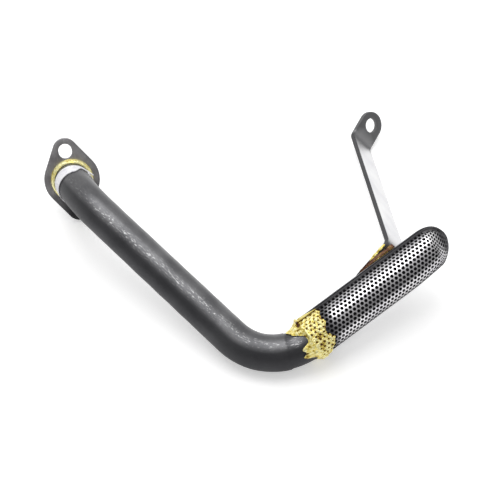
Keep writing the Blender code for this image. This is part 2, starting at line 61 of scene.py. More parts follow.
# %% Shared sizes
MM = 0.001
GAP = 0.3 * MM
TUBE_RADIUS = 11.0 * MM
TUBE_WALL = 1.6 * MM
STUB_LENGTH = 5.2 * MM
TUBE_RECESS = 2.6 * MM
FIRST_BEND_RADIUS = 49.0 * MM
RUN_LENGTH = 104.7 * MM
SECOND_BEND_RADIUS = 35.5 * MM
TUBE_INSERT = 12.0 * MM
FLANGE_THICKNESS = 3.0 * MM
STRAINER_LENGTH = 101.6 * MM
DOME_RADIUS = TUBE_RADIUS + 1.1 * MM
STRAIGHT_LENGTH = STRAINER_LENGTH - DOME_RADIUS
SCREEN_SHEET = 0.8 * MM
SKIRT_HEIGHT = 3.9 * MM
LIP_WIDTH = 1.5 * MM
PAN_WALL = 1.0 * MM
PAN_BOTTOM = TUBE_RADIUS + GAP + PAN_WALL
print("strainer is", round(2 * DOME_RADIUS / MM, 1), "mm wide")

# %% [markdown]
# ## Directions
# A tube that was bent on a bench is easiest to describe by where each straight stretch points:
# a heading turned about the vertical, and a climb above the floor. The flange's middle is known
# from the frame, so the origin of everything else is half a plate away from it.

# %% Directions and places
def unit(vectors):
    """Each vector divided by its own length."""
    return vectors / np.linalg.norm(vectors, axis=-1, keepdims=True)


def heading_vector(heading, climb):
    """Unit vector: heading turned from +X about +Z, climb above the floor, in degrees."""
    turn, rise = np.radians((heading, climb))
    return np.array((np.cos(rise) * np.cos(turn), np.cos(rise) * np.sin(turn), np.sin(rise)))


def turned(roll, climb, heading):
    """Rotation matrix of a piece that is rolled, then raised, then turned, in degrees."""
    return np.array(Euler(np.radians((roll, -climb, heading))).to_matrix())


STUB = heading_vector(-76.6, 35.9)
RUN = heading_vector(-42.5, -12.8)
OUTLET = heading_vector(33.2, 15.9)
flange_middle = np.array(sum(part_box("flange"), Vector()) / 2)
ORIGIN = flange_middle + STUB * FLANGE_THICKNESS / 2
FLANGE_TURN = turned(3.7, 35.9, -76.6)
STRAINER_TURN = turned(62.4, 15.9, 33.2)
print("flange face is centred at", np.round(ORIGIN / MM, 1), "mm")

# %% [markdown]
# ## From arrays to a mesh
# Every piece below ends as two arrays, points and faces. Most pieces are thin walls, so the first
# helpers join the neighbours of a grid by quads, and close two grids into one skin.

# %% Grids and skins
def grid_faces(rows, columns, wrap_rows, wrap_columns):
    """Quads between neighbours of a grid; a wrapped direction joins its last line to its first."""
    r = np.arange(rows if wrap_rows else rows - 1)[:, None]
    c = np.arange(columns if wrap_columns else columns - 1)[None, :]
    below, beside = (r + 1) % rows, (c + 1) % columns
    here, under = r * columns, below * columns
    return np.stack((here + c, under + c, under + beside, here + beside), -1).reshape(-1, 4)


def shell(outer, inner, wrap=False, caps=(True, True)):
    """Closed skin over the two faces of a sheet, each a grid of points.

    Every row runs over the outer face and back along the inner one. Wrapped rows close like a
    ring; otherwise caps join the faces at the first and the last row.
    """
    rows, columns = outer.shape[:2]
    points = np.concatenate((outer, inner[:, ::-1]), axis=1).reshape(-1, outer.shape[-1])
    faces = [grid_faces(rows, 2 * columns, wrap, True)]
    j = np.arange(columns - 1)
    cap = np.stack((j, j + 1, 2 * columns - 2 - j, 2 * columns - 1 - j), -1)
    if not wrap and caps[0]:
        faces.append(cap)
    if not wrap and caps[1]:
        faces.append(cap[:, ::-1] + (rows - 1) * 2 * columns)
    return points, np.concatenate(faces)


def volume(points, faces):
    """Signed volume: the sum of the pyramids from the origin to each triangle of each face."""
    total = 0.0
    for k in range(1, faces.shape[1] - 1):
        a, b, c = points[faces[:, 0]], points[faces[:, k]], points[faces[:, k + 1]]
        total += np.einsum("ij,ij->i", a, np.cross(b, c)).sum() / 6
    return total


print("a grid of 3 by 4 points has", len(grid_faces(3, 4, False, False)), "faces")

# %% [markdown]
# One function then turns the arrays into an object, makes sure that its faces point outwards, and
# hands it to the solid's body. It keeps each point's place on the flat or straight blank, from
# before the metal was formed, as an attribute. Scratches and grain can then follow the metal
# round its bends. Other attributes say where the metal is worn, darkened by painted shade or by
# soot, or cut.

# %% From arrays to an object
WELD_DISTANCE = MM / 10000
PLAIN_WEAR = 0.3


def make_piece(name, points, faces, finish, node, blank=None, sharp=35, cut=0.0, **marks):
    """One object that stands for a solid; marks are extra values, one for each point.

    Two marks are always there: worn, how much handling scratched it, and soot, the painted shade
    or soot that darkens it.
    cut is 1 on the faces that a shear or a punch left, and 0 on the rolled ones.
    """
    if volume(points, faces) < 0:
        faces = faces[:, ::-1]
    mesh = bpy.data.meshes.new(name)
    mesh.from_pydata(points.tolist(), [], faces.tolist())
    place = mesh.attributes.new("blank", "FLOAT_VECTOR", "POINT")
    place.data.foreach_set("vector", (points if blank is None else blank).astype("f").ravel())
    plain = {"worn": np.full(len(points), PLAIN_WEAR), "soot": np.zeros(len(points))}
    for mark, values in (plain | marks).items():
        kept = mesh.attributes.new(mark, "FLOAT", "POINT")
        kept.data.foreach_set("value", values.astype("f").ravel())
    kept = mesh.attributes.new("cut", "FLOAT", "FACE")
    kept.data.foreach_set("value", np.broadcast_to(cut, len(faces)).astype("f"))
    body = bmesh.new()
    body.from_mesh(mesh)
    bmesh.ops.remove_doubles(body, verts=body.verts, dist=WELD_DISTANCE)
    open_edges = sum(not edge.is_manifold for edge in body.edges)
    body.to_mesh(mesh)
    body.free()
    mesh.shade_smooth()
    mesh.set_sharp_from_angle(angle=math.radians(sharp))
    mesh.materials.append(finish)
    made = bpy.data.objects.new(name, mesh)
    bpy.context.scene.collection.objects.link(made)
    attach(made, "root")
    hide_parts(node)
    print(f"{name}: {len(mesh.polygons)} faces, {open_edges} open edges")
    return made

# %% [markdown]
# ## Randomness that repeats
# Braze has lumps and steel has dents. A sum of waves that run in random directions gives a soft
# random height at any point in space. The seed fixes the waves, so every run is the same.

# %% Soft random field
def ripple(points, size, seed, waves=28):
    """Sum of cosine waves in random directions, each about one size long; mostly in -1 to 1."""
    draw = np.random.default_rng(seed)
    pull = draw.uniform(0.6, 1.5, (waves, 1)) * 2 * np.pi / size
    directions = unit(draw.normal(size=(waves, 3))) * pull
    phases = draw.uniform(0, 2 * np.pi, waves)
    return np.cos(points @ directions.T + phases).sum(-1) / math.sqrt(2 * waves)


def ease(value, low, high):
    """0 below low, 1 above high, and a smooth S between them."""
    share = np.clip((value - low) / (high - low), 0, 1)
    return share * share * (3 - 2 * share)


print("ripple at the flange:", round(float(ripple(ORIGIN, 10 * MM, 1)), 2))

# %% [markdown]
# ## Finishes
# All the finishes share three effects, so each effect is a node group: blotches of stain, a fine
# grain, and scratches. A group reads a place on the blank and gives back a mask. The mask goes
# into colour, roughness and bump in each material, with that metal's own values.

# %% Node helpers
def add_node(tree, kind, inputs=None, **settings):
    """Adds a shader node, with its settings, and its inputs from values or from other nodes."""
    made = tree.nodes.new("ShaderNode" + kind)
    for name, value in settings.items():
        setattr(made, name, value)
    for name, value in (inputs or {}).items():
        if isinstance(value, bpy.types.NodeSocket):
            tree.links.new(value, made.inputs[name])
        else:
            made.inputs[name].default_value = value
    return made


def mask_group(name, size_name):
    """A node group that reads a place and a size, and gives a mask; returns its three ends."""
    tree = bpy.data.node_groups.new(name, "ShaderNodeTree")
    tree.interface.new_socket("Place", in_out="INPUT", socket_type="NodeSocketVector")
    tree.interface.new_socket(size_name, in_out="INPUT", socket_type="NodeSocketFloat")
    tree.interface.new_socket("Mask", in_out="OUTPUT", socket_type="NodeSocketFloat")
    inward, outward = tree.nodes.new("NodeGroupInput"), tree.nodes.new("NodeGroupOutput")
    return tree, inward, outward


def threshold(tree, value, low, high):
    """Stretches a value so that low becomes 0 and high becomes 1."""
    inputs = {"Value": value, "From Min": low, "From Max": high}
    return add_node(tree, "MapRange", inputs).outputs["Result"]

# %% Stain, grain and scratches
def make_stain():
    """Soft blotches: slow noise, pushed apart into marked and clean areas."""
    tree, inward, outward = mask_group("stain", "Scale")
    inputs = {"Vector": inward.outputs["Place"], "Scale": inward.outputs["Scale"], "Detail": 5.0}
    noise = add_node(tree, "TexNoise", inputs)
    mask = threshold(tree, noise.outputs["Fac"], 0.35, 0.68)
    tree.links.new(mask, outward.inputs["Mask"])
    return tree


def make_grain():
    """Fine grain of rolled steel: noise with strong small detail."""
    tree, inward, outward = mask_group("grain", "Scale")
    inputs = {"Vector": inward.outputs["Place"], "Scale": inward.outputs["Scale"]}
    inputs |= {"Detail": 8.0, "Roughness": 0.75}
    noise = add_node(tree, "TexNoise", inputs)
    tree.links.new(noise.outputs["Fac"], outward.inputs["Mask"])
    return tree


def make_scratches():
    """Short scratches along the blank's length: noise squeezed lengthways, its peaks kept."""
    tree, inward, outward = mask_group("scratches", "Scale")
    squeeze = {0: inward.outputs["Place"], 1: (0.3, 1.0, 1.0)}
    long_way = add_node(tree, "VectorMath", squeeze, operation="MULTIPLY").outputs["Vector"]
    inputs = {"Vector": long_way, "Scale": inward.outputs["Scale"]}
    inputs |= {"Detail": 3.0, "Roughness": 0.6, "Distortion": 0.4}
    noise = add_node(tree, "TexNoise", inputs)
    mask = threshold(tree, noise.outputs["Fac"], 0.55, 0.75)
    tree.links.new(mask, outward.inputs["Mask"])
    return tree


STAIN, GRAIN, SCRATCHES = make_stain(), make_grain(), make_scratches()
print("mask groups:", STAIN.name, GRAIN.name, SCRATCHES.name)

# %% [markdown]
# ### Steel
# The tube, plates and strainer are the same kind of bare steel with different handling. One
# function makes them all: a dark and a light shade mixed by the stain, brighter metal where it
# is worn and scratched, a dull dark film of painted shade and soot, also painted as shade on cut
# edges, and a bump from the grain. The shades, shine and scales are each piece's own.

# %% Helpers for finishes
def new_material(name):
    """A material with its tree, its Principled shader, and the blank's place as a socket."""
    made = bpy.data.materials.new(name)
    made["slot"] = name
    made.use_nodes = True
    tree = made.node_tree
    blank = add_node(tree, "Attribute", attribute_name="blank").outputs["Vector"]
    return made, tree, tree.nodes["Principled BSDF"], blank


def mask(tree, group, place, scale):
    """Places a mask group and returns its mask."""
    used = add_node(tree, "Group", node_tree=group)
    tree.links.new(place, used.inputs["Place"])
    used.inputs["Scale"].default_value = scale
    return used.outputs["Mask"]


def mix(tree, share, low, high):
    """Mixes two colours by a share."""
    made = add_node(tree, "Mix", data_type="RGBA")
    for index, value in ((0, share), (6, low), (7, high)):
        if isinstance(value, bpy.types.NodeSocket):
            tree.links.new(value, made.inputs[index])
        elif isinstance(value, tuple):
            made.inputs[index].default_value = (*value, 1.0)
        else:
            made.inputs[index].default_value = value
    return made.outputs[2]


def times(tree, first, second):
    """Product of two values."""
    return add_node(tree, "Math", {0: first, 1: second}, operation="MULTIPLY").outputs[0]


def greater(tree, first, second):
    """The greater of two values."""
    return add_node(tree, "Math", {0: first, 1: second}, operation="MAXIMUM").outputs[0]


def bump(tree, height, distance):
    """Normal from a height that is distance deep."""
    return add_node(tree, "Bump", {"Height": height, "Distance": distance}).outputs["Normal"]


def read_mark(tree, name):
    """Value of a mark at the shaded point."""
    return add_node(tree, "Attribute", attribute_name=name).outputs["Fac"]

# %% [markdown]
# Each steel then only needs its two shades, the shade of its scratches, the range of its
# roughness, how metallic it is, and the scale of its scratches and blotches.

# %% Steel finishes
# Colour and roughness of the dark film: painted shade in most places, heat tint beside the braze.
SHADE_AND_SOOT = (0.03, 0.03, 0.034)
SHADE_AND_SOOT_ROUGHNESS = 0.8
CUT_EDGE_SHADE = 0.86
STEEL_GRAIN = 900.0
STEEL_GRAIN_DEPTH = 0.06 * MM


def make_steel(name, dark, light, bright, shine, metallic, scratches, blotches=55.0):
    """Bare steel: two shades mixed by stain, scratches where it is worn, a dark film of painted
    shade and soot, and a grain.

    shine is the least and the most roughness: the grain varies it, and the dark film dulls it
    further.
    """
    made, tree, shader, blank = new_material(name)
    stain = mask(tree, STAIN, blank, blotches)
    scratch = mask(tree, SCRATCHES, blank, scratches)
    grain = mask(tree, GRAIN, blank, STEEL_GRAIN)
    # The dark film paints shade where the soot mark is high, and on cut faces.
    film = greater(tree, read_mark(tree, "soot"), times(tree, read_mark(tree, "cut"), CUT_EDGE_SHADE))
    shade = mix(tree, stain, dark, light)
    shade = mix(tree, times(tree, scratch, read_mark(tree, "worn")), shade, bright)
    tree.links.new(mix(tree, film, shade, SHADE_AND_SOOT), shader.inputs["Base Color"])
    rough = add_node(tree, "MapRange", {"Value": grain, "To Min": shine[0], "To Max": shine[1]})
    rough = greater(tree, rough.outputs["Result"], times(tree, film, SHADE_AND_SOOT_ROUGHNESS))
    tree.links.new(rough, shader.inputs["Roughness"])
    shader.inputs["Metallic"].default_value = metallic
    tree.links.new(bump(tree, grain, STEEL_GRAIN_DEPTH), shader.inputs["Normal"])
    return made


PLATE_STEEL = make_steel(
    "plate_steel", dark=(0.27, 0.26, 0.27), light=(0.44, 0.43, 0.44), bright=(0.8, 0.8, 0.8),
    shine=(0.35, 0.5), metallic=0.85, scratches=500.0, blotches=90.0,
)
SCREEN_STEEL = make_steel(
    "screen_steel", dark=(0.60, 0.59, 0.62), light=(0.78, 0.77, 0.78), bright=(0.9, 0.9, 0.9),
    shine=(0.22, 0.34), metallic=1.0, scratches=400.0,
)
PAN_STEEL = make_steel(
    "pan_steel", dark=(0.14, 0.14, 0.15), light=(0.22, 0.21, 0.23), bright=(0.5, 0.5, 0.5),
    shine=(0.3, 0.5), metallic=0.9, scratches=400.0,
)
STRAP_STEEL = make_steel(
    "strap_steel", dark=(0.66, 0.66, 0.68), light=(0.79, 0.79, 0.79), bright=(0.9, 0.9, 0.9),
    shine=(0.3, 0.42), metallic=1.0, scratches=500.0,
)
DARK_STEEL = make_steel(
    "dark_steel", dark=(0.10, 0.10, 0.105), light=(0.17, 0.17, 0.175), bright=(0.8, 0.8, 0.8),
    shine=(0.3, 0.45), metallic=0.85, scratches=1500.0,
)
STEELS = (PLATE_STEEL, SCREEN_STEEL, PAN_STEEL, STRAP_STEEL, DARK_STEEL)
print("steels:", ", ".join(steel.name for steel in STEELS))

# %% [markdown]
# ### Braze and the white band
# Braze is brass that ran hot over the joint. Its high lumps are painted pale as highlight and its
# hollows brown, partly flux and partly painted shade, so the colour follows the height of each
# lump, which its mesh carries as a mark.
# The band is plain white strip with a little dirt.

# %% Braze and band finishes
BRAZE_GRAIN = 700.0
BRAZE_GRAIN_DEPTH = 0.15 * MM
# Brown for flux and painted shade in hollows, gold, and pale yellow as painted highlight on lumps.
BRAZE_SHADES = (
    (0.0, (0.09, 0.03, 0.01)), (0.25, (0.40, 0.27, 0.03)),
    (0.47, (0.88, 0.72, 0.16)), (0.8, (1.0, 0.94, 0.48)),
)
BRAZE_METALLIC, BRAZE_ROUGHNESS = 0.45, 0.27
BAND_STAIN = 300.0
BAND_CLEAN, BAND_DIRTY = (0.93, 0.93, 0.94), (0.78, 0.77, 0.83)
BAND_ROUGHNESS = 0.45


def make_braze():
    """Brass: the lump mark picks brown, gold or pale yellow, and a grain breaks it up; the pale
    yellow is painted highlight, the brown partly painted shade.

    The shade's place on the ramp is the mark, plus the grain less its middle of a half.
    """
    made, tree, shader, blank = new_material("braze")
    lump = read_mark(tree, "lump")
    grain = mask(tree, GRAIN, blank, BRAZE_GRAIN)
    height = add_node(tree, "Math", {0: lump, 1: grain}, operation="ADD").outputs[0]
    height = add_node(tree, "Math", {0: height, 1: -0.5}, operation="ADD").outputs[0]
    ramp = add_node(tree, "ValToRGB", {"Fac": height})
    elements = ramp.color_ramp.elements
    for index, (at, colour) in enumerate(BRAZE_SHADES):
        stop = elements[index] if index < 2 else elements.new(at)
        stop.position, stop.color = at, (*colour, 1.0)
    tree.links.new(ramp.outputs["Color"], shader.inputs["Base Color"])
    shader.inputs["Metallic"].default_value = BRAZE_METALLIC
    shader.inputs["Roughness"].default_value = BRAZE_ROUGHNESS
    tree.links.new(bump(tree, grain, BRAZE_GRAIN_DEPTH), shader.inputs["Normal"])
    return made


def make_white_band():
    """White strip with faint grey stains."""
    made, tree, shader, blank = new_material("white_band")
    stain = mask(tree, STAIN, blank, BAND_STAIN)
    tree.links.new(mix(tree, stain, BAND_CLEAN, BAND_DIRTY), shader.inputs["Base Color"])
    shader.inputs["Roughness"].default_value = BAND_ROUGHNESS
    return made


BRAZE, WHITE_BAND = make_braze(), make_white_band()
print("other finishes:", BRAZE.name, WHITE_BAND.name)

# %% [markdown]
# ## The tube
# The real tube is bent cold from straight stock. It is described the way a bender is set: a
# straight, a bend of some radius towards a new direction, and so on. Along the way each station
# carries a little frame of three directions, which turns with the bend and never twists.

# %% Route of the tube
def turns(axis, angles):
    """Rotations about a unit axis: I + sin(a) K + (1 - cos(a)) K squared, K the cross product."""
    x, y, z = axis
    cross = np.array(((0, -z, y), (z, 0, -x), (-y, x, 0)))
    angles = np.asarray(angles)[:, None, None]
    return np.eye(3) + np.sin(angles) * cross + (1 - np.cos(angles)) * (cross @ cross)


def straight(start, pose, length, count):
    """Stations on a straight line ahead, all with the same pose."""
    steps = np.linspace(0, length, count)
    return start + steps[:, None] * pose[:, 0], np.repeat(pose[None], count, 0), steps


def bend(start, pose, towards, radius, count):
    """Stations round an arc that turns the pose's first direction towards a new one."""
    axis = unit(np.cross(pose[:, 0], towards))
    angle = math.acos(pose[:, 0] @ towards)
    centre = start + np.cross(axis, pose[:, 0]) * radius
    share = np.linspace(0, angle, count)
    spins = turns(axis, share)
    return centre + spins @ (start - centre), spins @ pose, share * radius


def tube_route():
    """Centres, poses and travel of every station, from the tube's mouth to its end."""
    side = unit(np.cross(STUB, (0, 0, 1)))
    pose = np.column_stack((STUB, side, np.cross(side, STUB)))
    parts = [straight(ORIGIN - STUB * TUBE_RECESS, pose, TUBE_RECESS + STUB_LENGTH, 8)]
    parts.append(bend(parts[-1][0][-1], pose, RUN, FIRST_BEND_RADIUS, 40))
    parts.append(straight(parts[-1][0][-1], parts[-1][1][-1], RUN_LENGTH, 60))
    parts.append(bend(parts[-1][0][-1], parts[-1][1][-1], OUTLET, SECOND_BEND_RADIUS, 60))
    parts.append(straight(parts[-1][0][-1], parts[-1][1][-1], TUBE_INSERT, 14))
    travel, begun = [], -TUBE_RECESS
    for _, _, steps in parts:
        travel.append(begun + steps)
        begun = travel[-1][-1]
    keep = np.diff(np.concatenate(travel), prepend=-1) > 0
    centres = np.concatenate([part[0] for part in parts])
    poses = np.concatenate([part[1] for part in parts])
    return centres[keep], poses[keep], np.concatenate(travel)[keep], parts[3][0][-1]


CENTRES, POSES, TRAVEL, ROOT = tube_route()
print("tube is", round((TRAVEL[-1] + TUBE_RECESS) / MM, 1), "mm long on its centre line")

# %% [markdown]
# The tube's skin is then a circle carried along the stations. A point on it is told by its travel
# along the tube, its angle from the upper side, and its distance from the centre line.

# %% A point on the tube
TUBE_SIDES = 112
SHOULDER_AT = TRAVEL[-1] - TUBE_INSERT - 14.5 * MM
SHOULDER_STEP = 0.45 * MM
SHOULDER_RUN = 0.8 * MM
RUN_AT = STUB_LENGTH + FIRST_BEND_RADIUS * math.acos(STUB @ RUN)
ELBOW_AT = RUN_AT + RUN_LENGTH


def on_tube(travel, angle, radius):
    """Point at a travel, an angle from the upper side, and a distance from the centre line."""
    centre = np.stack([np.interp(travel, TRAVEL, CENTRES[:, k]) for k in range(3)], -1)
    side, up = (
        unit(np.stack([np.interp(travel, TRAVEL, POSES[:, k, j]) for k in range(3)], -1))
        for j in (1, 2)
    )
    swing = np.cos(angle)[..., None] * up + np.sin(angle)[..., None] * side
    return centre + radius[..., None] * swing


print("the straight run goes from", round(RUN_AT / MM, 1), "to", round(ELBOW_AT / MM, 1), "mm")

# %% [markdown]
# ### Wear on the tube
# Handling has rubbed the dark skin bright along one line, and beside the braze a round patch was
# ground and hammered. The low side, away from the light, is painted darker as shade, and so is the
# end past the shoulder, which lies in shadow. Each is a smooth function of travel and angle, kept
# as a mark.

# %% Wear on the tube
LEAST_WEAR = 0.04
WORN_TRAVEL = (RUN_AT - 12 * MM, RUN_AT, ELBOW_AT, TRAVEL[-1])
WORN_ANGLE = (26.0, 26.0, 10.0, 20.0)
WORN_STRENGTH = (0.2, 1.0, 0.6, 0.3)
WORN_WIDTH = math.radians(13)
PATCH_AT = TRAVEL[-1] - TUBE_INSERT - 7.5 * MM
PATCH_ANGLE = math.radians(17)
PATCH_RADIUS = 3.4 * MM
PATCH_WEAR = 1.2
LOW_SIDE = math.radians(120)
LOW_REACH = np.radians((80, 85, 92))
# Painted shade on the low side of the run and the elbow, and past the shoulder.
RUN_SHADE, ELBOW_SHADE, END_SHADE = 0.65, 0.75, 0.5


def angle_from(angle, line):
    """How far an angle lies from a line, between minus and plus half a turn."""
    return (angle - line + np.pi) % (2 * np.pi) - np.pi


def ground_patch(travel, angle):
    """Flat-topped bell over the ground patch: exp(-(d / r) to the fourth), d the distance."""
    away = np.hypot(travel - PATCH_AT, angle_from(angle, PATCH_ANGLE) * TUBE_RADIUS)
    return np.exp(-(away / PATCH_RADIUS) ** 4)


def worn_line(travel, angle):
    """How worn the skin is: a narrow bell across the line that rubbed, and the ground patch.

    The bell is exp(-(d / w) squared), where d is the angle from the line and w its width.
    """
    line = np.radians(np.interp(travel, WORN_TRAVEL, WORN_ANGLE))
    strong = np.interp(travel, WORN_TRAVEL, WORN_STRENGTH)
    rubbed = strong * np.exp(-(angle_from(angle, line) / WORN_WIDTH) ** 2)
    return LEAST_WEAR + rubbed + PATCH_WEAR * ground_patch(travel, angle)


def tube_soot(travel, angle):
    """Painted shade below the worn line and past the shoulder, but not on the ground patch."""
    edge = np.interp(travel, (RUN_AT, ELBOW_AT, TRAVEL[-1]), LOW_REACH)
    low = ease(edge - np.abs(angle_from(angle, LOW_SIDE)), -0.1, 0.16)
    in_elbow = ease(travel, ELBOW_AT - 15 * MM, ELBOW_AT + 10 * MM)
    side = low * (RUN_SHADE + (ELBOW_SHADE - RUN_SHADE) * in_elbow)
    end = END_SHADE * ease(travel, SHOULDER_AT, SHOULDER_AT + SHOULDER_RUN)
    return np.maximum(side, end) * (1 - ground_patch(travel, angle))


print("wear on the worn line:", round(float(worn_line(ELBOW_AT, math.radians(10))), 2))

# %% [markdown]
# ### The tube's skin
# The radius is not quite even: the tube is a little dented all along, hammered on the patch, and
# drawn in past the shoulder. Dents only go inwards. A second, smaller circle makes the bore.

# %% Skin of the tube
DENT_DEPTH, DENT_SIZE = 0.07 * MM, 14 * MM
HAMMER_DEPTH, HAMMER_SIZE = 0.16 * MM, 2.6 * MM


def make_tube():
    """The tube: outer and inner circles on every station, closed at both rims."""
    around = np.linspace(0, 2 * np.pi, TUBE_SIDES, endpoint=False)
    angle, travel = np.meshgrid(around, TRAVEL, indexing="ij")
    side = np.cos(angle) * TUBE_RADIUS, np.sin(angle) * TUBE_RADIUS
    straight_blank = np.stack((travel, *side), -1)
    drawn_in = SHOULDER_STEP * ease(travel, SHOULDER_AT, SHOULDER_AT + SHOULDER_RUN)
    dents = DENT_DEPTH * (ripple(straight_blank, DENT_SIZE, 3) - 1)
    hammered = HAMMER_DEPTH * (ripple(straight_blank, HAMMER_SIZE, 5) - 1)
    dents += ground_patch(travel, angle) * hammered
    outer = on_tube(travel, angle, TUBE_RADIUS - drawn_in + dents)
    inner = on_tube(travel, angle, np.full_like(travel, TUBE_RADIUS - TUBE_WALL))
    points, faces = shell(outer, inner, wrap=True)
    blank, _ = shell(straight_blank, straight_blank, wrap=True)
    clean, black = np.zeros_like(angle)[..., None], np.ones_like(angle)[..., None]
    worn, _ = shell(worn_line(travel, angle)[..., None], clean, wrap=True)
    soot, _ = shell(tube_soot(travel, angle)[..., None], black, wrap=True)
    return make_piece(
        "tube_skin", points, faces, DARK_STEEL, "tube", blank, worn=worn, soot=soot
    )


make_tube()

# %% [markdown]
# ## Plates
# The flange, the strap and the screen all start as flat sheet with holes. A plate is built in
# that order too: outline and holes are loops of points, a Delaunay triangulation fills the
# metal between them, and the edge is rounded by loops that step in. Only then is it bent.

# %% Flat blanks
def arc(x, y, radius, start, end, step=4.0):
    """Points round an arc, from angle start to end in degrees, one for every step."""
    count = max(2, math.ceil(abs(end - start) / step))
    angles = np.radians(np.linspace(start, end, count + 1))
    return np.column_stack((x + radius * np.cos(angles), y + radius * np.sin(angles)))


def fill_metal(loops, inner):
    """Triangles between the outline, the first loop, and the holes, the other loops.

    A triangle with its three corners on one hole lies inside that round hole and is left out.
    """
    flat = np.concatenate([*loops, inner])
    owner = np.concatenate([np.full(len(loop), k) for k, loop in enumerate([*loops, inner])])
    owner[len(flat) - len(inner):] = 0
    starts = np.cumsum([0] + [len(loop) for loop in loops])
    edges = []
    for start, loop in zip(starts, loops):
        ring = start + np.arange(len(loop))
        edges += np.column_stack((ring, np.roll(ring, -1))).tolist()
    filled = delaunay_2d_cdt([Vector(p) for p in flat.tolist()], edges, [], 0, MM / 1000)
    triangles = np.array(filled[2])
    owners = owner[triangles]
    in_hole = (owners[:, 0] > 0) & (owners == owners[:, :1]).all(1)
    return flat, triangles[~in_hole], starts


def make_plate(loops_at, inner, thickness, edge):
    """A plate about z = 0: its two faces, and edges rounded to a radius.

    loops_at gives the outline and the holes for any inset. The edge is a quarter circle from
    each face to the wall, and every step of it is one more set of loops. The third result
    says which faces are edge.
    """
    flat, triangles, starts = fill_metal(loops_at(edge), inner)
    quarter = np.radians(np.linspace(0, 90, 5)) if edge else np.zeros(1)
    inset = edge * (1 - np.sin(quarter))
    height = thickness / 2 - edge * (1 - np.cos(quarter))
    inset, height = np.r_[inset, inset[::-1]], np.r_[height, -height[::-1]]
    points = [np.column_stack((flat, np.full(len(flat), z))) for z in height[[0, -1]]]
    faces = [triangles, triangles[:, ::-1] + len(flat)]
    total = 2 * len(flat)
    middle = [loops_at(step) for step in inset[1:-1]]
    for k, start in enumerate(starts[:-1]):
        count = starts[k + 1] - start
        top = start + np.arange(count)
        rows = [top]
        for loops, z in zip(middle, height[1:-1]):
            points.append(np.column_stack((loops[k], np.full(count, z))))
            rows.append(total + np.arange(count))
            total += count
        rows.append(top + len(flat))
        index = np.array(rows)
        quads = index.reshape(-1)[grid_faces(len(rows), count, False, True)]
        faces += [quads[:, [0, 1, 2]], quads[:, [0, 2, 3]]]
    faces = np.concatenate(faces)
    return np.concatenate(points), faces, np.arange(len(faces)) >= 2 * len(triangles)


print("half a circle of 5 mm takes", len(arc(0, 0, 5 * MM, 0, 180)), "points")

# %% [markdown]
# ### The flange
# The flange's outline is two round lobes and a round body, joined by straight tangents. Each
# bolt hole is drawn out towards the bore. Stepping a loop in only changes the arcs' radii. The
# lower end, which lies in the tube's shade, is painted darker as that shade.

# %% Flange
FLANGE_BORE = TUBE_RADIUS + GAP
BOLT_RADIUS = 4.2 * MM
BOLT_TRAVEL = 1.2 * MM
BOLT_OFFSET = FLANGE_BORE + 2.5 * MM + BOLT_TRAVEL + BOLT_RADIUS
LOBE_RADIUS = BOLT_RADIUS + 3.5 * MM
BODY_RADIUS = FLANGE_BORE + 6.2 * MM
FLANGE_EDGE = 0.35 * MM
FLANGE_CUT = 0.4
FLANGE_SHADE = 0.9


def flange_loops(inset):
    """Outline, bore and bolt slots; an inset shrinks the outline and widens the holes."""
    slant = math.degrees(math.acos((BODY_RADIUS - LOBE_RADIUS) / BOLT_OFFSET))
    lobe, body, bolt = LOBE_RADIUS - inset, BODY_RADIUS - inset, BOLT_RADIUS + inset
    outline = [arc(BOLT_OFFSET, 0, lobe, -slant, slant), arc(0, 0, body, slant, 180 - slant)]
    outline += [-outline[0], -outline[1]]
    bore = arc(0, 0, FLANGE_BORE + inset, 360, 0)[:-1]
    slot = arc(BOLT_OFFSET, 0, bolt, 90, -90)
    slot = np.concatenate((slot, arc(BOLT_OFFSET - BOLT_TRAVEL, 0, bolt, 270, 90)))
    return [np.concatenate(outline), bore, slot, -slot]


def make_flange():
    """The flange plate, turned so that its flat faces look along the tube's first stretch."""
    flat, faces, edge = make_plate(flange_loops, np.zeros((0, 2)), FLANGE_THICKNESS, FLANGE_EDGE)
    across = np.column_stack((flat[:, 2], flat[:, 1], -flat[:, 0]))
    points = flange_middle + across @ FLANGE_TURN.T
    # Painted shade: darker towards the lower end, in the tube's shadow.
    soot = FLANGE_SHADE * ease(flat[:, 0], 0.1 * BOLT_OFFSET, 0.8 * BOLT_OFFSET)
    return make_piece(
        "flange_plate", points, faces, PLATE_STEEL, "flange", flat,
        cut=FLANGE_CUT * edge, soot=soot,
    )


make_flange()

# %% [markdown]
# ### The braze ring on the flange
# Braze wets both the tube and the plate and sets as a hollow fillet with a soft, uneven crest.
# Its section is carried round the tube, and the ripple field swells and pinches it.

# %% Flange braze
RING_LEG = 2.1 * MM
RING_HEIGHT = 3.6 * MM
RING_LAP = 0.1 * MM
RING_SWELL = 0.28 * MM
RING_CORE = 0.02
RING_SIDES, RING_COLUMNS = 240, 22
RING_SHADE, RING_LUMP_SHADE = 0.74, 0.3


def round_flange(height, radius, angle):
    """Points at a height over the flange, a radius from the tube's axis, and an angle."""
    return np.stack((height, radius * np.cos(angle), radius * np.sin(angle)), -1)


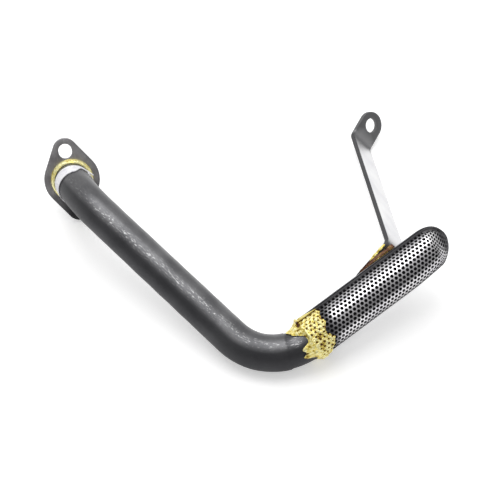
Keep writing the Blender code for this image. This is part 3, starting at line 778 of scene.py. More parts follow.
def make_flange_braze():
    """The ring: a hollow curve from the tube down to the plate, turned about the tube.

    Along the curve the radius grows as a sine and the height falls as a cosine, both raised to
    a power a little under 1. The inner sheet is that curve shrunk nearly to the corner.
    """
    around = np.linspace(0, 2 * np.pi, RING_SIDES, endpoint=False)
    angle, slide = np.meshgrid(around, np.linspace(0, 1, RING_COLUMNS), indexing="ij")
    quarter = slide * np.pi / 2
    seat = np.full_like(angle, FLANGE_BORE - RING_LAP)
    radius = seat + (RING_LEG + RING_LAP) * np.sin(quarter) ** 0.85
    height = RING_LAP + RING_HEIGHT * np.cos(quarter) ** 0.9
    spot = round_flange(height, radius, angle)
    lump = 0.6 * ripple(spot, 7 * MM, 11) + 0.4 * ripple(spot, 2.2 * MM, 12)
    swell = RING_SWELL * lump * np.sin(quarter * 2)
    spot = spot + round_flange(swell, swell, angle)
    under = round_flange(np.full_like(angle, RING_LAP), seat, angle)
    under = under + (spot - under) * RING_CORE
    points, faces = shell(spot, under, wrap=True)
    # Paler on the high lumps as painted highlight, and darker between them as painted shade.
    shade = (RING_SHADE + RING_LUMP_SHADE * lump)[..., None]
    marks, _ = shell(shade, np.zeros_like(shade), wrap=True)
    points = ORIGIN + points @ FLANGE_TURN.T
    return make_piece(
        "flange_braze_ring", points, faces, BRAZE, "flange_braze", lump=marks, sharp=60
    )


make_flange_braze()

# %% [markdown]
# ### The white band
# A thin white strip goes once round the tube just past the flange, and its end stands off
# straight. It is a ribbon on the tube's own stations: angle round the tube until the strip
# leaves, then distance along the tangent. Just before it leaves, it is cut narrow.

# %% White band
BAND_START = 10.0 * MM
BAND_WIDTH = 9.0 * MM
BAND_INNER = TUBE_RADIUS + 0.15 * MM
BAND_THICKNESS = 0.45 * MM
BAND_LEAVES_AT = math.radians(-45.0)
BAND_WRAP = math.radians(348.0)
BAND_LOOSE_END = 7.0 * MM
BAND_NARROWED = 0.62
BAND_CUT_FROM, BAND_CUT_TO = 0.88, 0.97
BAND_LINES, BAND_SIDES, LOOSE_STEPS = 9, 120, 7
SMALL_TURN = 0.01


def band_face(lift, widths, wraps, ends):
    """One face of the strip, lifted off the tube: the wrapped part, then the straight end."""
    width, wrap = np.meshgrid(widths, wraps, indexing="ij")
    narrow = BAND_NARROWED * ease(wrap, BAND_CUT_FROM, BAND_CUT_TO)
    width = BAND_START + (width - BAND_START) * (1 - narrow)
    angle = BAND_LEAVES_AT + BAND_WRAP * (1 - wrap)
    wrapped = on_tube(width, angle, np.full_like(width, BAND_INNER + lift))
    leaves, height = np.full_like(widths, BAND_LEAVES_AT), np.full_like(widths, BAND_INNER)
    ahead = on_tube(widths, leaves - SMALL_TURN, height)
    tangent = unit(ahead - on_tube(widths, leaves, height))
    loose = wrapped[:, -1:] + ends[None, :, None] * tangent[:, None]
    return np.concatenate((wrapped, loose), axis=1)


def make_band():
    """The strip: its outer and inner faces, closed all round."""
    widths = BAND_START + np.linspace(0, BAND_WIDTH, BAND_LINES)
    wraps = np.linspace(0, 1, BAND_SIDES)
    ends = np.linspace(0, BAND_LOOSE_END, LOOSE_STEPS + 1)[1:]
    outer = band_face(BAND_THICKNESS, widths, wraps, ends)
    inner = band_face(0.0, widths, wraps, ends)
    points, faces = shell(outer, inner)
    return make_piece("white_strip", points, faces, WHITE_BAND, "tag_band")


make_band()

# %% [markdown]
# ## Paths in a plane
# The screen's wall, the pan's wall and the folded strap are all sections drawn without lifting
# the pen: go straight, turn on a radius, go straight again. A walk adds up many small steps
# along a heading. A point of the flat blank then finds its place by how far along the walk it
# is, and how high above it.

# %% Walks
WALK_STEP = 0.02 * MM


def walk(start, moves):
    """Distance, place and heading along moves of (length, turn in degrees), turn 0 for straight.

    The heading grows evenly over a move that turns, and the place is the running sum of steps.
    """
    distance, heading = [np.zeros(1)], [np.zeros(1)]
    for length, turn in moves:
        share = np.linspace(0, 1, max(2, math.ceil(length / WALK_STEP)))[1:]
        distance.append(distance[-1][-1] + share * length)
        heading.append(heading[-1][-1] + share * math.radians(turn))
    distance, heading = np.concatenate(distance), np.concatenate(heading)
    middle = (heading[1:] + heading[:-1]) / 2
    steps = np.diff(distance)[:, None] * np.column_stack((np.cos(middle), np.sin(middle)))
    place = np.array(start) + np.concatenate((np.zeros((1, 2)), np.cumsum(steps, 0)))
    return distance, place, heading


def along_walk(path, distance, lift):
    """Place on a walk, lifted off it to its left by some height."""
    travelled, place, heading = path
    turn = np.interp(distance, travelled, heading)
    out = np.interp(distance, travelled, place[:, 0]) - lift * np.sin(turn)
    up = np.interp(distance, travelled, place[:, 1]) + lift * np.cos(turn)
    return out, up


corner = walk((0, 0), [(5 * MM * math.pi / 2, 90)])[1][-1]
print("a quarter turn of 5 mm radius ends at", (corner / MM).round(2))

# %% [markdown]
# ## The strainer's screen
# The screen is perforated sheet, pressed over a half-round former with a round tip. Round the
# tip the sheet's bearing from the tip's centre stays and its reach is walked.

# %% The screen's form
LIP_FOLD = 0.6 * MM
TIP_RAKE = 0.6
TIP_TAPER = 0.2
TIP_TAPER_LENGTH = 26.0 * MM
SCREEN_SKIRT = SKIRT_HEIGHT - SCREEN_SHEET - LIP_FOLD
SCREEN_WALK = walk((0, DOME_RADIUS), [
    (DOME_RADIUS * math.pi / 2, -90), (SCREEN_SKIRT, 0),
    (LIP_FOLD * math.pi / 2, 90), (LIP_WIDTH - LIP_FOLD, 0),
])
SCREEN_FOLD = DOME_RADIUS * math.pi / 2 + SCREEN_SKIRT
SCREEN_EDGE = SCREEN_WALK[0][-1]


def over_screen(along, across, lift):
    """Wraps flat sheet over the half tube and its tip, in the strainer's own directions.

    reach is the distance from the crest line, or from the crest's end in the tip, and bearing
    the direction of it. The higher a point lies over the rim, the more the tip's rake and the
    dome's taper draw it in.
    """
    past = np.maximum(along - STRAIGHT_LENGTH, 0)
    reach, bearing = np.hypot(past, across), np.arctan2(across, past)
    out, up = along_walk(SCREEN_WALK, reach, lift)
    high = np.maximum(up, 0) / DOME_RADIUS
    near = np.clip((along - STRAIGHT_LENGTH) / TIP_TAPER_LENGTH + 1, 0, 1)
    drawn_in = 1 - TIP_TAPER * near**2 * high
    ahead = out * np.cos(bearing) * (1 - TIP_RAKE * high) * drawn_in
    start = np.minimum(along, STRAIGHT_LENGTH)
    return np.stack((start + ahead, out * np.sin(bearing) * drawn_in, up * drawn_in), -1)


def on_strainer(points):
    """Takes points from the strainer's own directions to their place."""
    return ROOT + points @ STRAINER_TURN.T


print("the screen's sheet is", round(2 * SCREEN_EDGE / MM, 1), "mm across")

# %% [markdown]
# ### The sheet and its holes
# Holes are punched flat, in staggered rows, so they are placed on the flat sheet and carried
# over the form with it. They go on into the fold of the rim.

# %% The screen's sheet
HOLE_RADIUS = 1.06 * MM
HOLE_PITCH = 2.75 * MM
HOLE_SIDES = 12
SCREEN_BORDER = 0.6 * MM


def sheet_loop(half_width, step):
    """Edge of the flat sheet at a half width: two straight sides, a round tip, and the mouth."""
    side = np.linspace(0, STRAIGHT_LENGTH, math.ceil(STRAIGHT_LENGTH / step))[:-1]
    lower = np.column_stack((side, np.full(len(side), -half_width)))
    tip = arc(STRAIGHT_LENGTH, 0, half_width, -90, 90, 2.0)
    mouth = np.linspace(half_width, -half_width, math.ceil(2 * half_width / step))[1:-1]
    mouth = np.column_stack((np.zeros(len(mouth)), mouth))
    return np.concatenate((lower, tip, lower[::-1] * (1, -1), mouth))


def hole_centres():
    """Staggered rows of centres that keep a plain border to the edge of the sheet."""
    row_step = HOLE_PITCH * math.sqrt(3) / 2
    room = SCREEN_EDGE - SCREEN_BORDER - HOLE_RADIUS
    rows = np.arange(-int(room / row_step), int(room / row_step) + 1)
    columns = np.arange(int((STRAIGHT_LENGTH + SCREEN_FOLD) / HOLE_PITCH))
    row, column = np.meshgrid(rows, columns, indexing="ij")
    across = row * row_step
    along = SCREEN_BORDER + HOLE_RADIUS + (column + (row % 2) / 2) * HOLE_PITCH
    inside = np.hypot(np.maximum(along - STRAIGHT_LENGTH, 0), across) <= room
    return np.column_stack((along[inside], across[inside]))


HOLES = hole_centres()
print(len(HOLES), "holes")

# %% [markdown]
# ### The pressed screen
# The mesh of the flat sheet has extra points along the fold of its rim, but none close to a
# hole. The screen's steel is light, and is left so on top. Painted shade darkens it on its low
# flank, on the rim, past the start of the tip, and inside; beside the braze it is dark where it
# was heated.

# %% Pressed screen
SHEET_STEP = 1.0 * MM
HOLE_MARGIN = 0.1 * MM
INSIDE_SHADE = 0.95
FLANK_SHADE, RIM_SHADE, TIP_SHADE, HEAT_SOOT = 0.9, 0.75, 0.85, 0.85
SHADED_TIP = (7 * MM, 15 * MM)
HEATED_SHARE = (-1, -0.3, 0.2, 1)
HEATED_FRONT = (3 * MM, 8 * MM, 11.5 * MM, 14.5 * MM)
HEATED_FADE = (-9 * MM, -1 * MM)


def screen_soot(flat):
    """The darkest of five smooth marks at each point of the flat sheet: four of painted shade, one
    of heat tint.
    """
    past = np.maximum(flat[:, 0] - STRAIGHT_LENGTH, 0)
    reach = np.hypot(past, flat[:, 1])
    # Painted shade on the low flank, the rim, the tip and inside; the heated band is heat tint.
    flank = FLANK_SHADE * ease(-flat[:, 1], 0.05 * SCREEN_FOLD, 0.6 * SCREEN_FOLD)
    rim = RIM_SHADE * ease(reach, SCREEN_FOLD - SCREEN_BORDER, SCREEN_FOLD)
    tip = TIP_SHADE * ease(past, *SHADED_TIP)
    front = np.interp(flat[:, 1] / SCREEN_FOLD, HEATED_SHARE, HEATED_FRONT)
    heated = HEAT_SOOT * ease(front - flat[:, 0], *HEATED_FADE)
    inside = INSIDE_SHADE * (flat[:, 2] < 0)
    return np.max((flank, rim, tip, heated, inside), axis=0)


def make_screen():
    """The perforated sheet, punched flat, then pressed over its former."""
    ring = arc(0, 0, HOLE_RADIUS, 360, 0, 360 / HOLE_SIDES)[:-1]
    loops = [sheet_loop(SCREEN_EDGE, SHEET_STEP), *(HOLES[:, None] + ring)]
    folds = [sheet_loop(SCREEN_FOLD + k * LIP_FOLD * math.pi / 8, SHEET_STEP) for k in range(5)]
    inner = np.concatenate([fold[fold[:, 0] > SHEET_STEP / 2] for fold in folds])
    to_hole = np.linalg.norm(inner[:, None] - HOLES[None], axis=-1).min(1)
    inner = inner[to_hole > HOLE_RADIUS + HOLE_MARGIN]
    flat, faces, edge = make_plate(lambda inset: loops, inner, SCREEN_SHEET, 0.0)
    lift = flat[:, 2] - SCREEN_SHEET / 2
    points = on_strainer(over_screen(flat[:, 0], flat[:, 1], lift))
    # The cut faces, the hole walls, get the dark film as painted shade, so the holes look black.
    soot = screen_soot(flat)
    return make_piece(
        "perforated_screen", points, faces, SCREEN_STEEL, "strainer_screen", flat,
        cut=edge, soot=soot, worn=0.5 * (1 - soot),
    )


make_screen()

# %% [markdown]
# ### The pan
# The pan closes the strainer's back. Its section walks from the middle of the flat bottom round
# the corner, up the side and out over the lip. The section is pushed along the straight length
# and then both its halves swing round to the tip, where they meet and are welded.

# %% Pan
PAN_RIM = -SKIRT_HEIGHT - GAP - PAN_WALL
PAN_LIP_FOLD = 0.5 * MM
PAN_CORNER = PAN_BOTTOM + PAN_RIM - PAN_LIP_FOLD
PAN_RIM_SHADE = 0.9
PAN_SHADE_DEPTH = 1.5 * MM
PAN_COLUMNS, PAN_ROWS, PAN_SWINGS = 97, 46, 24
PAN_WALK = walk((0, -PAN_BOTTOM), [
    (DOME_RADIUS - PAN_CORNER, 0), (PAN_CORNER * math.pi / 2, 90),
    (PAN_LIP_FOLD * math.pi / 2, -90), (LIP_WIDTH - PAN_LIP_FOLD, 0),
])


def pan_face(lift):
    """One face of the pan: rows along the length and round the tip, columns across."""
    reach = np.linspace(-1, 1, PAN_COLUMNS) * PAN_WALK[0][-1]
    out, up = along_walk(PAN_WALK, np.abs(reach), lift)
    out = out * np.sign(reach)
    rows = np.linspace(0, STRAIGHT_LENGTH, PAN_ROWS)
    body = np.stack(np.broadcast_arrays(rows[:, None], out, up), -1)
    swing = np.radians(np.linspace(0, 90, PAN_SWINGS + 1))[1:, None]
    tip = np.stack((
        STRAIGHT_LENGTH + np.abs(out) * np.sin(swing), out * np.cos(swing), up + 0 * swing
    ), -1)
    return np.concatenate((body, tip))


def make_pan():
    """The pan: outer and inner faces, capped at the mouth and welded at the tip's nose."""
    outer, inner = pan_face(0.0), pan_face(PAN_WALL)
    points, faces = shell(outer, inner, caps=(True, False))
    # Painted shade on the inner face, and along the rim where the pan meets the screen.
    inside, _ = shell(np.zeros_like(outer[..., :1]), np.full_like(inner[..., :1], INSIDE_SHADE))
    rim = PAN_RIM_SHADE * ease(points[:, 2], PAN_RIM - PAN_SHADE_DEPTH, PAN_RIM)
    soot = np.maximum(inside[:, 0], rim)
    return make_piece(
        "pan_wall", on_strainer(points), faces, PAN_STEEL, "strainer_pan", points, soot=soot
    )


make_pan()

# %% [markdown]
# ### Braze over the strainer's root
# Brass was run generously over the joint: it laps forward over the first rows of holes, with a
# ragged front, and back down onto the tube. Most holes under it are nearly filled and show as
# dark dots, partly flux and partly painted shade. The surface is one sheet: a loop round the
# mouth, and for each place on that loop a line from the back edge on the tube to the front edge on
# the screen. The table gives the bearing of a place in degrees from the crest, and its reach back
# and forward in millimetres.

# %% Reach of the root braze
BRAZE_REACH = np.array([
    (-101.5, 1.5, 2.5), (-86, 1.5, 3.0), (-73, 1.5, 3.6), (-60, 1.5, 4.6), (-50, 1.5, 5.0),
    (-40, 1.5, 6.0), (-30, 2.0, 7.4), (-20, 3.8, 9.2), (-10, 6.4, 10.8), (0, 7.0, 11.6),
    (10, 6.6, 11.8), (20, 6.4, 11.0), (27, 5.4, 10.2), (35, 2.6, 10.0), (45, 1.8, 11.4),
    (55, 1.6, 12.8), (62, 2.6, 12.4), (70, 4.8, 12.0), (80, 8.5, 12.8), (90, 10.4, 14.0),
    (101.5, 11.8, 14.8), (102, 11.8, 14.0), (118, 11.4, 1.0), (130, 7.0, 0.6), (145, 4.0, 0.5),
    (180, 3.0, 0.5), (215, 3.5, 0.5), (245, 3.0, 1.0), (258.5, 1.5, 2.5),
])
BRAZE_BUILD_UP = 0.8 * MM
MOUTH_TOP, MOUTH_LOW = 320, 80
BRAZE_SEAT = TUBE_RADIUS + 0.05 * MM


def mouth_loop(lift, over, under):
    """Loop round the strainer's outside at its mouth, with its place on the flat screen."""
    across = np.linspace(-over, over, MOUTH_TOP)
    top = over_screen(np.zeros(MOUTH_TOP), across, np.full(MOUTH_TOP, lift))[:, 1:]
    reach = np.linspace(under, -under, MOUTH_LOW + 2)[1:-1]
    out, up = along_walk(PAN_WALK, np.abs(reach), -lift)
    low = np.column_stack((out * np.sign(reach), up))
    return np.concatenate((top, low)), np.concatenate((across, np.full(MOUTH_LOW, np.nan)))


def elbow_follow(points):
    """Bends what lies behind the mouth back along the tube's elbow.

    The distance behind the mouth, divided by the bend's radius, is the angle that it turns.
    """
    axis = unit(np.cross(RUN, OUTLET)) @ STRAINER_TURN
    centre = np.cross(axis, (1.0, 0.0, 0.0)) * SECOND_BEND_RADIUS
    behind = np.minimum(points[..., 0], 0)
    flat = points * (0, 1, 1) + np.maximum(points, 0) * (1, 0, 0) - centre
    spins = turns(axis, (behind / SECOND_BEND_RADIUS).ravel())
    return centre + (spins @ flat.reshape(-1, 3, 1)).reshape(points.shape)


print("the braze reaches", BRAZE_REACH[:, 2].max(), "mm forward at the most")

# %% [markdown]
# ### Edges, top and tail of the root braze
# The two edges are the reach from the table, made ragged. The top lies on the screen: it is
# creased and lumpy, sinks at the holes, and thins out towards its front. The tail falls in a
# hollow curve from the mouth to the tube. Lumps are painted pale as highlight, and pits and the
# thin front darker, partly flux and partly painted shade.
# The corner where the rims of the screen and the pan meet the tube is painted dark as shade.

# %% Edges, top and tail
LOOP_START = -BRAZE_REACH[0, 0]
TOP_COLUMNS, TAIL_COLUMNS = 76, 32
PITTED_LENGTH = 18 * MM
PIT_EDGE = (0.3 * MM, 0.85 * MM)
LEAST_BRAZE = 0.02 * MM
CORNER_BEARING, CORNER_SPREAD, CORNER_DARK = 97, 9, 0.7


def braze_edges(loop):
    """Bearing in degrees of each place on the loop, and its reach backwards and forwards."""
    degrees = (np.degrees(np.arctan2(loop[:, 0], loop[:, 1])) + LOOP_START) % 360 - LOOP_START
    back, front = (np.interp(degrees, BRAZE_REACH[:, 0], BRAZE_REACH[:, k]) * MM for k in (1, 2))
    spot = np.column_stack((loop, np.zeros(len(loop))))
    back = np.maximum(back + 0.9 * MM * ripple(spot, 6 * MM, 21), 1.0 * MM)
    ragged = 0.9 * ripple(spot, 4.5 * MM, 22) + 0.5 * ripple(spot, 1.6 * MM, 23)
    front = np.maximum(front + ragged * MM * (front > 2 * MM), 0.4 * MM)
    return degrees, back, front


def corner_shade(degrees, near):
    """Painted shade in the corner: a bell about the corner's bearing, times how near the mouth a
    place is.
    """
    bell = np.exp(-((degrees - CORNER_BEARING) / CORNER_SPREAD) ** 2)
    return CORNER_DARK * bell[:, None] * near


def braze_top(loop, across, degrees, front):
    """The braze on the screen: the sheet below it, its own surface, and its shade.

    Its height is the build-up, times a share that falls to nothing at the front, times a sum:
    more for a lump and less for a pit. A pit lies where the nearest hole's centre is near.
    """
    share = np.linspace(0, 1, TOP_COLUMNS)
    x = share * front[:, None]
    flat_across = np.broadcast_to(across[:, None], x.shape)
    below = np.where(
        np.isnan(flat_across)[..., None],
        np.stack(np.broadcast_arrays(x, loop[:, :1], loop[:, 1:]), -1),
        over_screen(x, np.nan_to_num(flat_across), GAP),
    )
    to_hole = np.full(x.shape, 1.0)
    for hole in HOLES[HOLES[:, 0] < PITTED_LENGTH]:
        to_hole = np.fmin(to_hole, np.hypot(x - hole[0], flat_across - hole[1]))
    pit = (0.9 + 0.2 * ripple(below, 6 * MM, 29)) * (1 - ease(to_hole, *PIT_EDGE))
    crease = 1 - 2 * np.abs(ripple(below, 6 * MM, 24))
    lump = 0.35 * crease + 0.4 * ripple(below, 3 * MM, 25) + 0.45 * ripple(below, 1.3 * MM, 30)
    thin = 1 - ease(share, 0.86, 1.0)
    rise = BRAZE_BUILD_UP * thin * (0.8 + 0.6 * lump - 0.8 * pit)
    top = below + unit(below * (0, 1, 1)) * np.maximum(rise, LEAST_BRAZE)[..., None]
    # Painted colour: pale on lumps as highlight, dark in pits and at the thin front, less the
    # corner's painted shade.
    shade = 0.62 + 0.5 * lump - 0.85 * pit - 0.25 * (1 - thin)
    return below, top, shade - corner_shade(degrees, ease(-x, -1.5 * MM, 0))


def braze_tail(loop, degrees, back, mouth_radius):
    """The braze on the tube: its surface and its shade.

    Its height over the tube is the height at the mouth times (1 + slide) to the power 1.4,
    where slide goes from -1 at the back edge to 0 at the mouth.
    """
    slide = np.linspace(-1, 0, TAIL_COLUMNS)[:-1]
    bulge = np.sin(np.pi * -slide)
    spot = np.column_stack((loop, np.zeros(len(loop))))
    swell = 0.35 * MM * bulge * ripple(spot[:, None] + 1, 3 * MM, 26)
    radius = BRAZE_SEAT + (mouth_radius - BRAZE_SEAT) * (1 + slide) ** 1.4 + swell
    turn = np.radians(degrees)[:, None]
    tail = np.stack((slide * back[:, None], np.sin(turn) * radius, np.cos(turn) * radius), -1)
    lump = 0.5 * ripple(tail, 4 * MM, 27) + 0.5 * ripple(tail, 1.8 * MM, 28)
    tail[..., 1:] *= (1 + 0.25 * MM * lump * bulge / radius)[..., None]
    # Pale on lumps as painted highlight, less the corner's painted shade.
    return tail, 0.55 + 0.5 * lump - corner_shade(degrees, ease(slide, -0.3, -0.05))


print("pits for", (HOLES[:, 0] < PITTED_LENGTH).sum(), "holes")

# %% [markdown]
# Tail and top are joined to one sheet, and closed by a second one that lies on the metal.

# %% Root braze
def make_root_braze():
    """The braze over the root, from its edge on the tube to its edge on the screen."""
    loop, across = mouth_loop(GAP, SCREEN_EDGE, PAN_WALK[0][-1])
    degrees, back, front = braze_edges(loop)
    below, top, top_shade = braze_top(loop, across, degrees, front)
    mouth_radius = np.hypot(top[:, :1, 1], top[:, :1, 2])
    tail, tail_shade = braze_tail(loop, degrees, back, mouth_radius)
    outer = np.concatenate((tail, top), axis=1)
    seat = np.full(tail.shape[:2], BRAZE_SEAT), np.hypot(below[..., 1], below[..., 2])
    seat = (np.concatenate(seat, axis=1) - LEAST_BRAZE)[..., None]
    inner = outer * (1, 0, 0) + unit(outer * (0, 1, 1)) * seat
    points, faces = shell(elbow_follow(outer), elbow_follow(inner), wrap=True)
    shade = np.concatenate((tail_shade, top_shade), axis=1)
    marks, _ = shell(shade[..., None], np.zeros_like(shade)[..., None], wrap=True)
    return make_piece(
        "root_braze", on_strainer(points), faces, BRAZE, "strainer_braze", lump=marks, sharp=70
    )


make_root_braze()

# %% [markdown]
# ## The strap
# The strap is a flat bar with a round end and a bolt hole, folded twice: up from its foot, and
# back at the tab. The blank is cut with extra points across it at the folds, so that the bend
# is smooth, and walked along its side view.

# %% Strap
STRAP_WIDTH = 18.2 * MM
STRAP_THICKNESS = 2.8 * MM
STRAP_BEND_RADIUS = 4.2 * MM
STRAP_EDGE = 0.3 * MM
FOOT_LENGTH = 27.0 * MM
LEG_LENGTH = 115.0 * MM
TAB_LENGTH = 14.1 * MM
LEG_BEND = 68.25
TAB_BEND = -48.6
STRAP_HOLE = 4.8 * MM
FOOT_FROM_TIP = 26.65 * MM
FOOT_ASIDE = 5.6 * MM
FOOT_TURN = 15.4
STRAP_STATIONS = 200
SETBACKS = [STRAP_BEND_RADIUS * math.tan(math.radians(abs(a)) / 2) for a in (LEG_BEND, TAB_BEND)]
STRAP_WALK = walk((-FOOT_LENGTH, 0), [
    (FOOT_LENGTH - SETBACKS[0], 0),
    (math.radians(LEG_BEND) * STRAP_BEND_RADIUS, LEG_BEND),
    (LEG_LENGTH - SETBACKS[0] - SETBACKS[1], 0),
    (math.radians(-TAB_BEND) * STRAP_BEND_RADIUS, TAB_BEND),
    (TAB_LENGTH - SETBACKS[1], 0), (STRAP_WIDTH / 2, 0),
])
HOLE_AT = STRAP_WALK[0][-1] - STRAP_WIDTH / 2
FOLD_AT = HOLE_AT - TAB_LENGTH
STRAP_DEPTH = PAN_BOTTOM + GAP + STRAP_THICKNESS / 2


def strap_loops(inset):
    """Outline with square foot and round tab, and the bolt hole."""
    half = STRAP_WIDTH / 2 - inset
    side = np.linspace(0, HOLE_AT, STRAP_STATIONS)[:-1]
    side[0] = inset
    lower = np.column_stack((side, np.full(len(side), -half)))
    outline = np.concatenate((lower, arc(HOLE_AT, 0, half, -90, 90), lower[::-1] * (1, -1)))
    return [outline, arc(HOLE_AT, 0, STRAP_HOLE + inset, 360, 0)[:-1]]


def on_foot(points):
    """Takes points from the foot's own directions to the strainer's: flipped over, then turned."""
    turn = np.array(Euler((math.pi, 0, math.radians(FOOT_TURN))).to_matrix())
    return np.array((STRAINER_LENGTH - FOOT_FROM_TIP, FOOT_ASIDE, -STRAP_DEPTH)) + points @ turn.T


print("the strap's blank is", round(STRAP_WALK[0][-1] / MM, 1), "mm long")

# %% [markdown]
# The foot is painted dark as shade against the pan: a little on its back, black on its side beside
# the braze, and at the fold above it.
# The tab's fold and the tab are painted darker as shade, as they face away from the light that
# makes the leg bright.

# %% Folded strap
FOOT_SHADE, FOOT_SIDE_SHADE = 0.3, 0.65
BEND_SHADE, BEND_SHADE_RUN = 0.35, 6 * MM
TAB_FOLD_SHADE, TAB_SHADE, TAB_START_RUN = 0.7, 0.78, 5 * MM
STRAP_WEAR = 0.1


def strap_soot(along, aside):
    """The darkest of the painted shades on the foot, at its fold, at the tab's fold and on the
    tab.
    """
    beside = ease(aside, 0.4 * STRAP_WIDTH, 0.48 * STRAP_WIDTH)
    on_side = ease(-along, -FOOT_LENGTH, SETBACKS[0] - FOOT_LENGTH)
    foot = (FOOT_SHADE + FOOT_SIDE_SHADE * beside) * on_side
    foot += BEND_SHADE * np.exp(-((along - FOOT_LENGTH) / BEND_SHADE_RUN) ** 2) * (1 - foot)
    # scale is the painted shade across the tab's fold.
    scale = TAB_FOLD_SHADE * np.exp(-((along - FOLD_AT) / TAB_START_RUN) ** 2)
    tab = TAB_SHADE * ease(along, FOLD_AT, FOLD_AT + TAB_START_RUN)
    return np.max((scale, tab, foot), axis=0)


def make_strap():
    """The folded strap, on the back of the pan."""
    side = np.linspace(0, HOLE_AT, STRAP_STATIONS)[1:-14]
    side, width = np.meshgrid(side, np.linspace(-0.4, 0.4, 7))
    inner = np.column_stack((side.ravel(), width.ravel() * STRAP_WIDTH))
    flat, faces, edge = make_plate(strap_loops, inner, STRAP_THICKNESS, STRAP_EDGE)
    out, up = along_walk(STRAP_WALK, flat[:, 0], flat[:, 2])
    points = on_foot(np.column_stack((out, flat[:, 1], up)))
    on_tab = ease(flat[faces].mean(1)[:, 0], FOLD_AT, FOLD_AT + TAB_START_RUN)
    return make_piece(
        "support_strap", on_strainer(points), faces, STRAP_STEEL, "bracket", flat,
        # Cut edges get the dark film as painted shade, half as much on the tab.
        cut=edge * (1 - 0.5 * on_tab), soot=strap_soot(flat[:, 0], -flat[:, 1]),
        worn=np.full(len(flat), STRAP_WEAR),
    )


make_strap()

# %% [markdown]
# ### Braze under the strap's foot
# A run of braze fills the wedge between the flat foot and the pan's round corner. Its section
# lies against the corner on one side and against the foot on the other, and grows towards the
# foot's end. Its open face is hollow and painted dark as the shade in the gap, with thin gold
# where it meets the pan. Near the leg, a bead of the same braze lies over the foot's edge.

# %% Bead over the foot's edge
BEAD_FROM = -15.5 * MM
BEAD_TO = -2.0 * MM
BEAD_HEIGHT = 1.3 * MM
BEAD_WIDTH = 0.9 * MM
BEAD_ROWS, BEAD_SIDES = 60, 24


def foot_bead():
    """A lumpy bead over the foot's edge beside the fold; it shrinks to a point at both ends."""
    around = np.linspace(0, 2 * np.pi, BEAD_SIDES, endpoint=False)
    share, around = np.meshgrid(np.linspace(0, 1, BEAD_ROWS), around, indexing="ij")
    out = BEAD_FROM + share * (BEAD_TO - BEAD_FROM)
    spot = np.stack((out, BEAD_HEIGHT * np.sin(around), BEAD_HEIGHT * np.cos(around)), -1)
    lump = 0.6 * ripple(spot, 4 * MM, 33) + 0.4 * ripple(spot, 1.6 * MM, 34)
    thick = np.sqrt(1 - (2 * share - 1) ** 4) * (0.85 + 0.2 * lump)
    side = -STRAP_WIDTH / 2 - BEAD_WIDTH * thick * np.sin(around)
    bead = on_foot(np.stack((out, side, BEAD_HEIGHT * thick * np.cos(around)), -1))
    faces = grid_faces(*share.shape, False, True)[:, ::-1]
    # Paler on the bead's high lumps as painted highlight.
    return bead.reshape(-1, 3), faces, (0.5 + 0.3 * lump).ravel()


print("the bead has", len(foot_bead()[1]), "faces")

# %% [markdown]
# The run is one sheet: up the pan's corner, and back along the foot and the hollow face.

# %% Strap braze
WEDGE_SHARE = (0.04, 0.25, 0.5, 0.75, 0.97)
WEDGE_CLIMB = (30.0, 38.0, 34.0, 44.0, 54.0)
WEDGE_LEAN = 0.8 * MM
WEDGE_SAG = 0.5 * MM
WEDGE_TOP = 76.0
WEDGE_ROWS, WEDGE_COLUMNS, HOLLOW_COLUMNS = 110, 26, 10


def make_strap_braze():
    """The run of braze: rows along the foot, columns up the pan's corner and out again."""
    share = np.linspace(WEDGE_SHARE[0], WEDGE_SHARE[-1], WEDGE_ROWS)
    share, rise = np.meshgrid(share, np.linspace(0, 1, WEDGE_COLUMNS), indexing="ij")
    climb = np.interp(share, WEDGE_SHARE, WEDGE_CLIMB)
    angle = np.radians(-WEDGE_TOP + (WEDGE_TOP - climb) * rise)
    seat = PAN_CORNER + GAP
    seat_y = DOME_RADIUS - PAN_CORNER + seat * np.cos(angle)
    seat_z = PAN_CORNER - PAN_BOTTOM + seat * np.sin(angle)
    along = STRAINER_LENGTH - FOOT_FROM_TIP - share * FOOT_LENGTH
    on_pan = np.stack((along, seat_y, seat_z), -1)
    start, end = seat_y[:, :1], seat_y[:, -1:] + WEDGE_LEAN
    sag = np.maximum(WEDGE_SAG * np.sin(np.pi * rise), 0)
    face = np.stack((along, start + (end - start) * rise, -PAN_BOTTOM + sag), -1)
    across = np.linspace(0, 1, HOLLOW_COLUMNS + 2)[None, 1:-1, None]
    hollow = face[:, -1:] + (on_pan[:, -1:] - face[:, -1:]) * across
    lump = 0.5 * ripple(hollow, 4 * MM, 31) + 0.5 * ripple(hollow, 1.6 * MM, 32)
    sink = np.sin(np.pi * across) * (0.5 - 0.3 * lump[..., None]) * MM
    hollow = hollow - sink * (0, 1, 0)
    seat_rows = np.concatenate((on_pan, np.repeat(on_pan[:, -1:], HOLLOW_COLUMNS, 1)), 1)
    points, faces = shell(np.concatenate((face, hollow), 1), seat_rows)
    # Painted shade: the run is dark in the gap under the foot, with gold only where it meets the
    # pan.
    gold = 0.4 * ease(across[..., 0], 0.7, 0.95) * ease(share[:, :1], 0.05, 0.3)
    shade = np.concatenate((np.zeros(face.shape[:2]), -0.04 + 0.12 * lump + gold), 1)
    marks, _ = shell(shade[..., None], np.full((*shade.shape, 1), 0.3))
    bead, bead_faces, bead_shade = foot_bead()
    faces = np.concatenate((faces, bead_faces + len(points)))
    return make_piece(
        "strap_braze_run", on_strainer(np.concatenate((points, bead))), faces, BRAZE,
        "bracket_braze", lump=np.concatenate((marks[:, 0], bead_shade)),
    )


make_strap_braze()

# %% [markdown]
# ## Floor, light and camera
# The part lies on a white floor under soft light from above and behind. The floor glows a
# little for the camera and for reflections, so that it reads white, and keeps the shadow.

# %% Floor
FLOOR_SIZE = 6.0
FLOOR_WHITE = 0.88
FLOOR_ROUGHNESS = 0.9
FLOOR_GLOW = 0.4


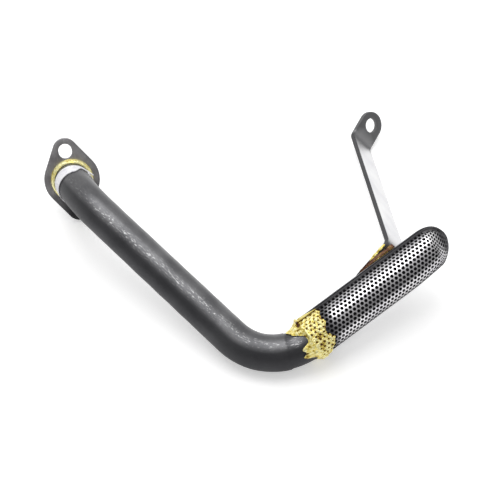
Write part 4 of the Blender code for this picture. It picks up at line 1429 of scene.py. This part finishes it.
def seen_directly(tree):
    """1 for camera, glossy and transmission rays, and 0 for the rays that light the part."""
    path = add_node(tree, "LightPath")
    both = {0: path.outputs["Is Camera Ray"], 1: path.outputs["Is Glossy Ray"]}
    total = add_node(tree, "Math", both, operation="ADD").outputs[0]
    more = {0: total, 1: path.outputs["Is Transmission Ray"]}
    return add_node(tree, "Math", more, operation="ADD", use_clamp=True).outputs[0]


def make_floor():
    """A pale plane whose glow only the camera and reflections see."""
    half = FLOOR_SIZE / 2
    mesh = bpy.data.meshes.new("floor")
    corners = [(-half, -half, 0), (half, -half, 0), (half, half, 0), (-half, half, 0)]
    mesh.from_pydata(corners, [], [(0, 1, 2, 3)])
    finish, tree, shader, _ = new_material("floor_white")
    shader.inputs["Base Color"].default_value = (FLOOR_WHITE, FLOOR_WHITE, FLOOR_WHITE, 1.0)
    shader.inputs["Roughness"].default_value = FLOOR_ROUGHNESS
    shader.inputs["Specular IOR Level"].default_value = 0.0
    glow = add_node(tree, "Emission", {"Color": (1.0, 1.0, 1.0, 1.0)})
    tree.links.new(times(tree, seen_directly(tree), FLOOR_GLOW), glow.inputs["Strength"])
    both = add_node(tree, "AddShader")
    tree.links.new(shader.outputs[0], both.inputs[0])
    tree.links.new(glow.outputs[0], both.inputs[1])
    tree.links.new(both.outputs[0], tree.nodes["Material Output"].inputs["Surface"])
    mesh.materials.append(finish)
    floor = bpy.data.objects.new("floor", mesh)
    bpy.context.scene.collection.objects.link(floor)
    print("floor:", FLOOR_SIZE, "m wide")


make_floor()

# %% [markdown]
# ### Light
# Bare metal looks like what it reflects. The world is pale behind and above and dim in front, so
# curved metal gets a bright upper side and a dark lower one. Two soft boxes add the shine on
# top and lift the front a little. Each has a name, a place, a size and a level of light.

# %% Light
WORLD_FRONT = 0.2
WORLD_BACK = 0.95
PALE_SIDE = (0.0, 0.8, 0.6)
PALE_FROM = -0.3
LAMPS = [
    ("overhead", (-0.15, 0.25, 1.1), 0.9, 2.3),
    ("front", (-0.3, -0.9, 0.9), 0.5, 1.3),
]


def make_world():
    """A studio that is dim in front and pale behind and above; the camera sees it white."""
    world = bpy.data.worlds.new("studio")
    world.use_nodes = True
    tree = world.node_tree
    facing = add_node(tree, "TexCoord").outputs["Generated"]
    pale = {0: facing, 1: PALE_SIDE}
    pale = add_node(tree, "VectorMath", pale, operation="DOT_PRODUCT").outputs["Value"]
    limits = {"Value": pale, "From Min": PALE_FROM, "To Min": WORLD_FRONT, "To Max": WORLD_BACK}
    level = add_node(tree, "MapRange", limits).outputs["Result"]
    camera_ray = add_node(tree, "LightPath").outputs["Is Camera Ray"]
    strength = greater(tree, level, camera_ray)
    background = tree.nodes["Background"]
    background.inputs["Color"].default_value = (1.0, 1.0, 1.0, 1.0)
    tree.links.new(strength, background.inputs["Strength"])
    bpy.context.scene.world = world


def aim(obj, target):
    """Turns a lamp or camera, which looks along its own -Z, towards a point."""
    obj.rotation_euler = (Vector(target) - obj.location).to_track_quat("-Z", "Y").to_euler()


def make_lamp(name, place, size, level):
    """A square soft box; its power is its level of light times pi times its area."""
    data = bpy.data.lights.new(name, "AREA")
    data.size = size
    data.energy = level * math.pi * size**2
    lamp = bpy.data.objects.new(name, data)
    lamp.location = place
    aim(lamp, (0, 0, 0))
    bpy.context.scene.collection.objects.link(lamp)


make_world()
for lamp in LAMPS:
    make_lamp(*lamp)
print("lamps:", ", ".join(lamp[0] for lamp in LAMPS))

# %% [markdown]
# ### Camera
# A long lens far back keeps the shape of the part true. From in front and above, the flange, the
# screen and the strap all show at once.

# %% Camera
CAMERA_LENS = 93.32
SENSOR_WIDTH = 36.0
CAMERA_CLIMB = 51.77
CAMERA_DISTANCE = 787.7 * MM
AIM_FROM_FLANGE = np.array((106.2, -30.2, -23.5)) * MM


def make_camera():
    """The camera stands in front and looks down on the part."""
    data = bpy.data.cameras.new("camera")
    data.lens = CAMERA_LENS
    data.sensor_width = SENSOR_WIDTH
    camera = bpy.data.objects.new("camera", data)
    target = Vector(ORIGIN + AIM_FROM_FLANGE)
    camera.location = target + Vector(heading_vector(-90, CAMERA_CLIMB)) * CAMERA_DISTANCE
    aim(camera, target)
    bpy.context.scene.collection.objects.link(camera)
    bpy.context.scene.camera = camera
    bpy.context.scene.view_settings.view_transform = "Standard"
    print("camera at", [round(v, 3) for v in camera.location])


make_camera()
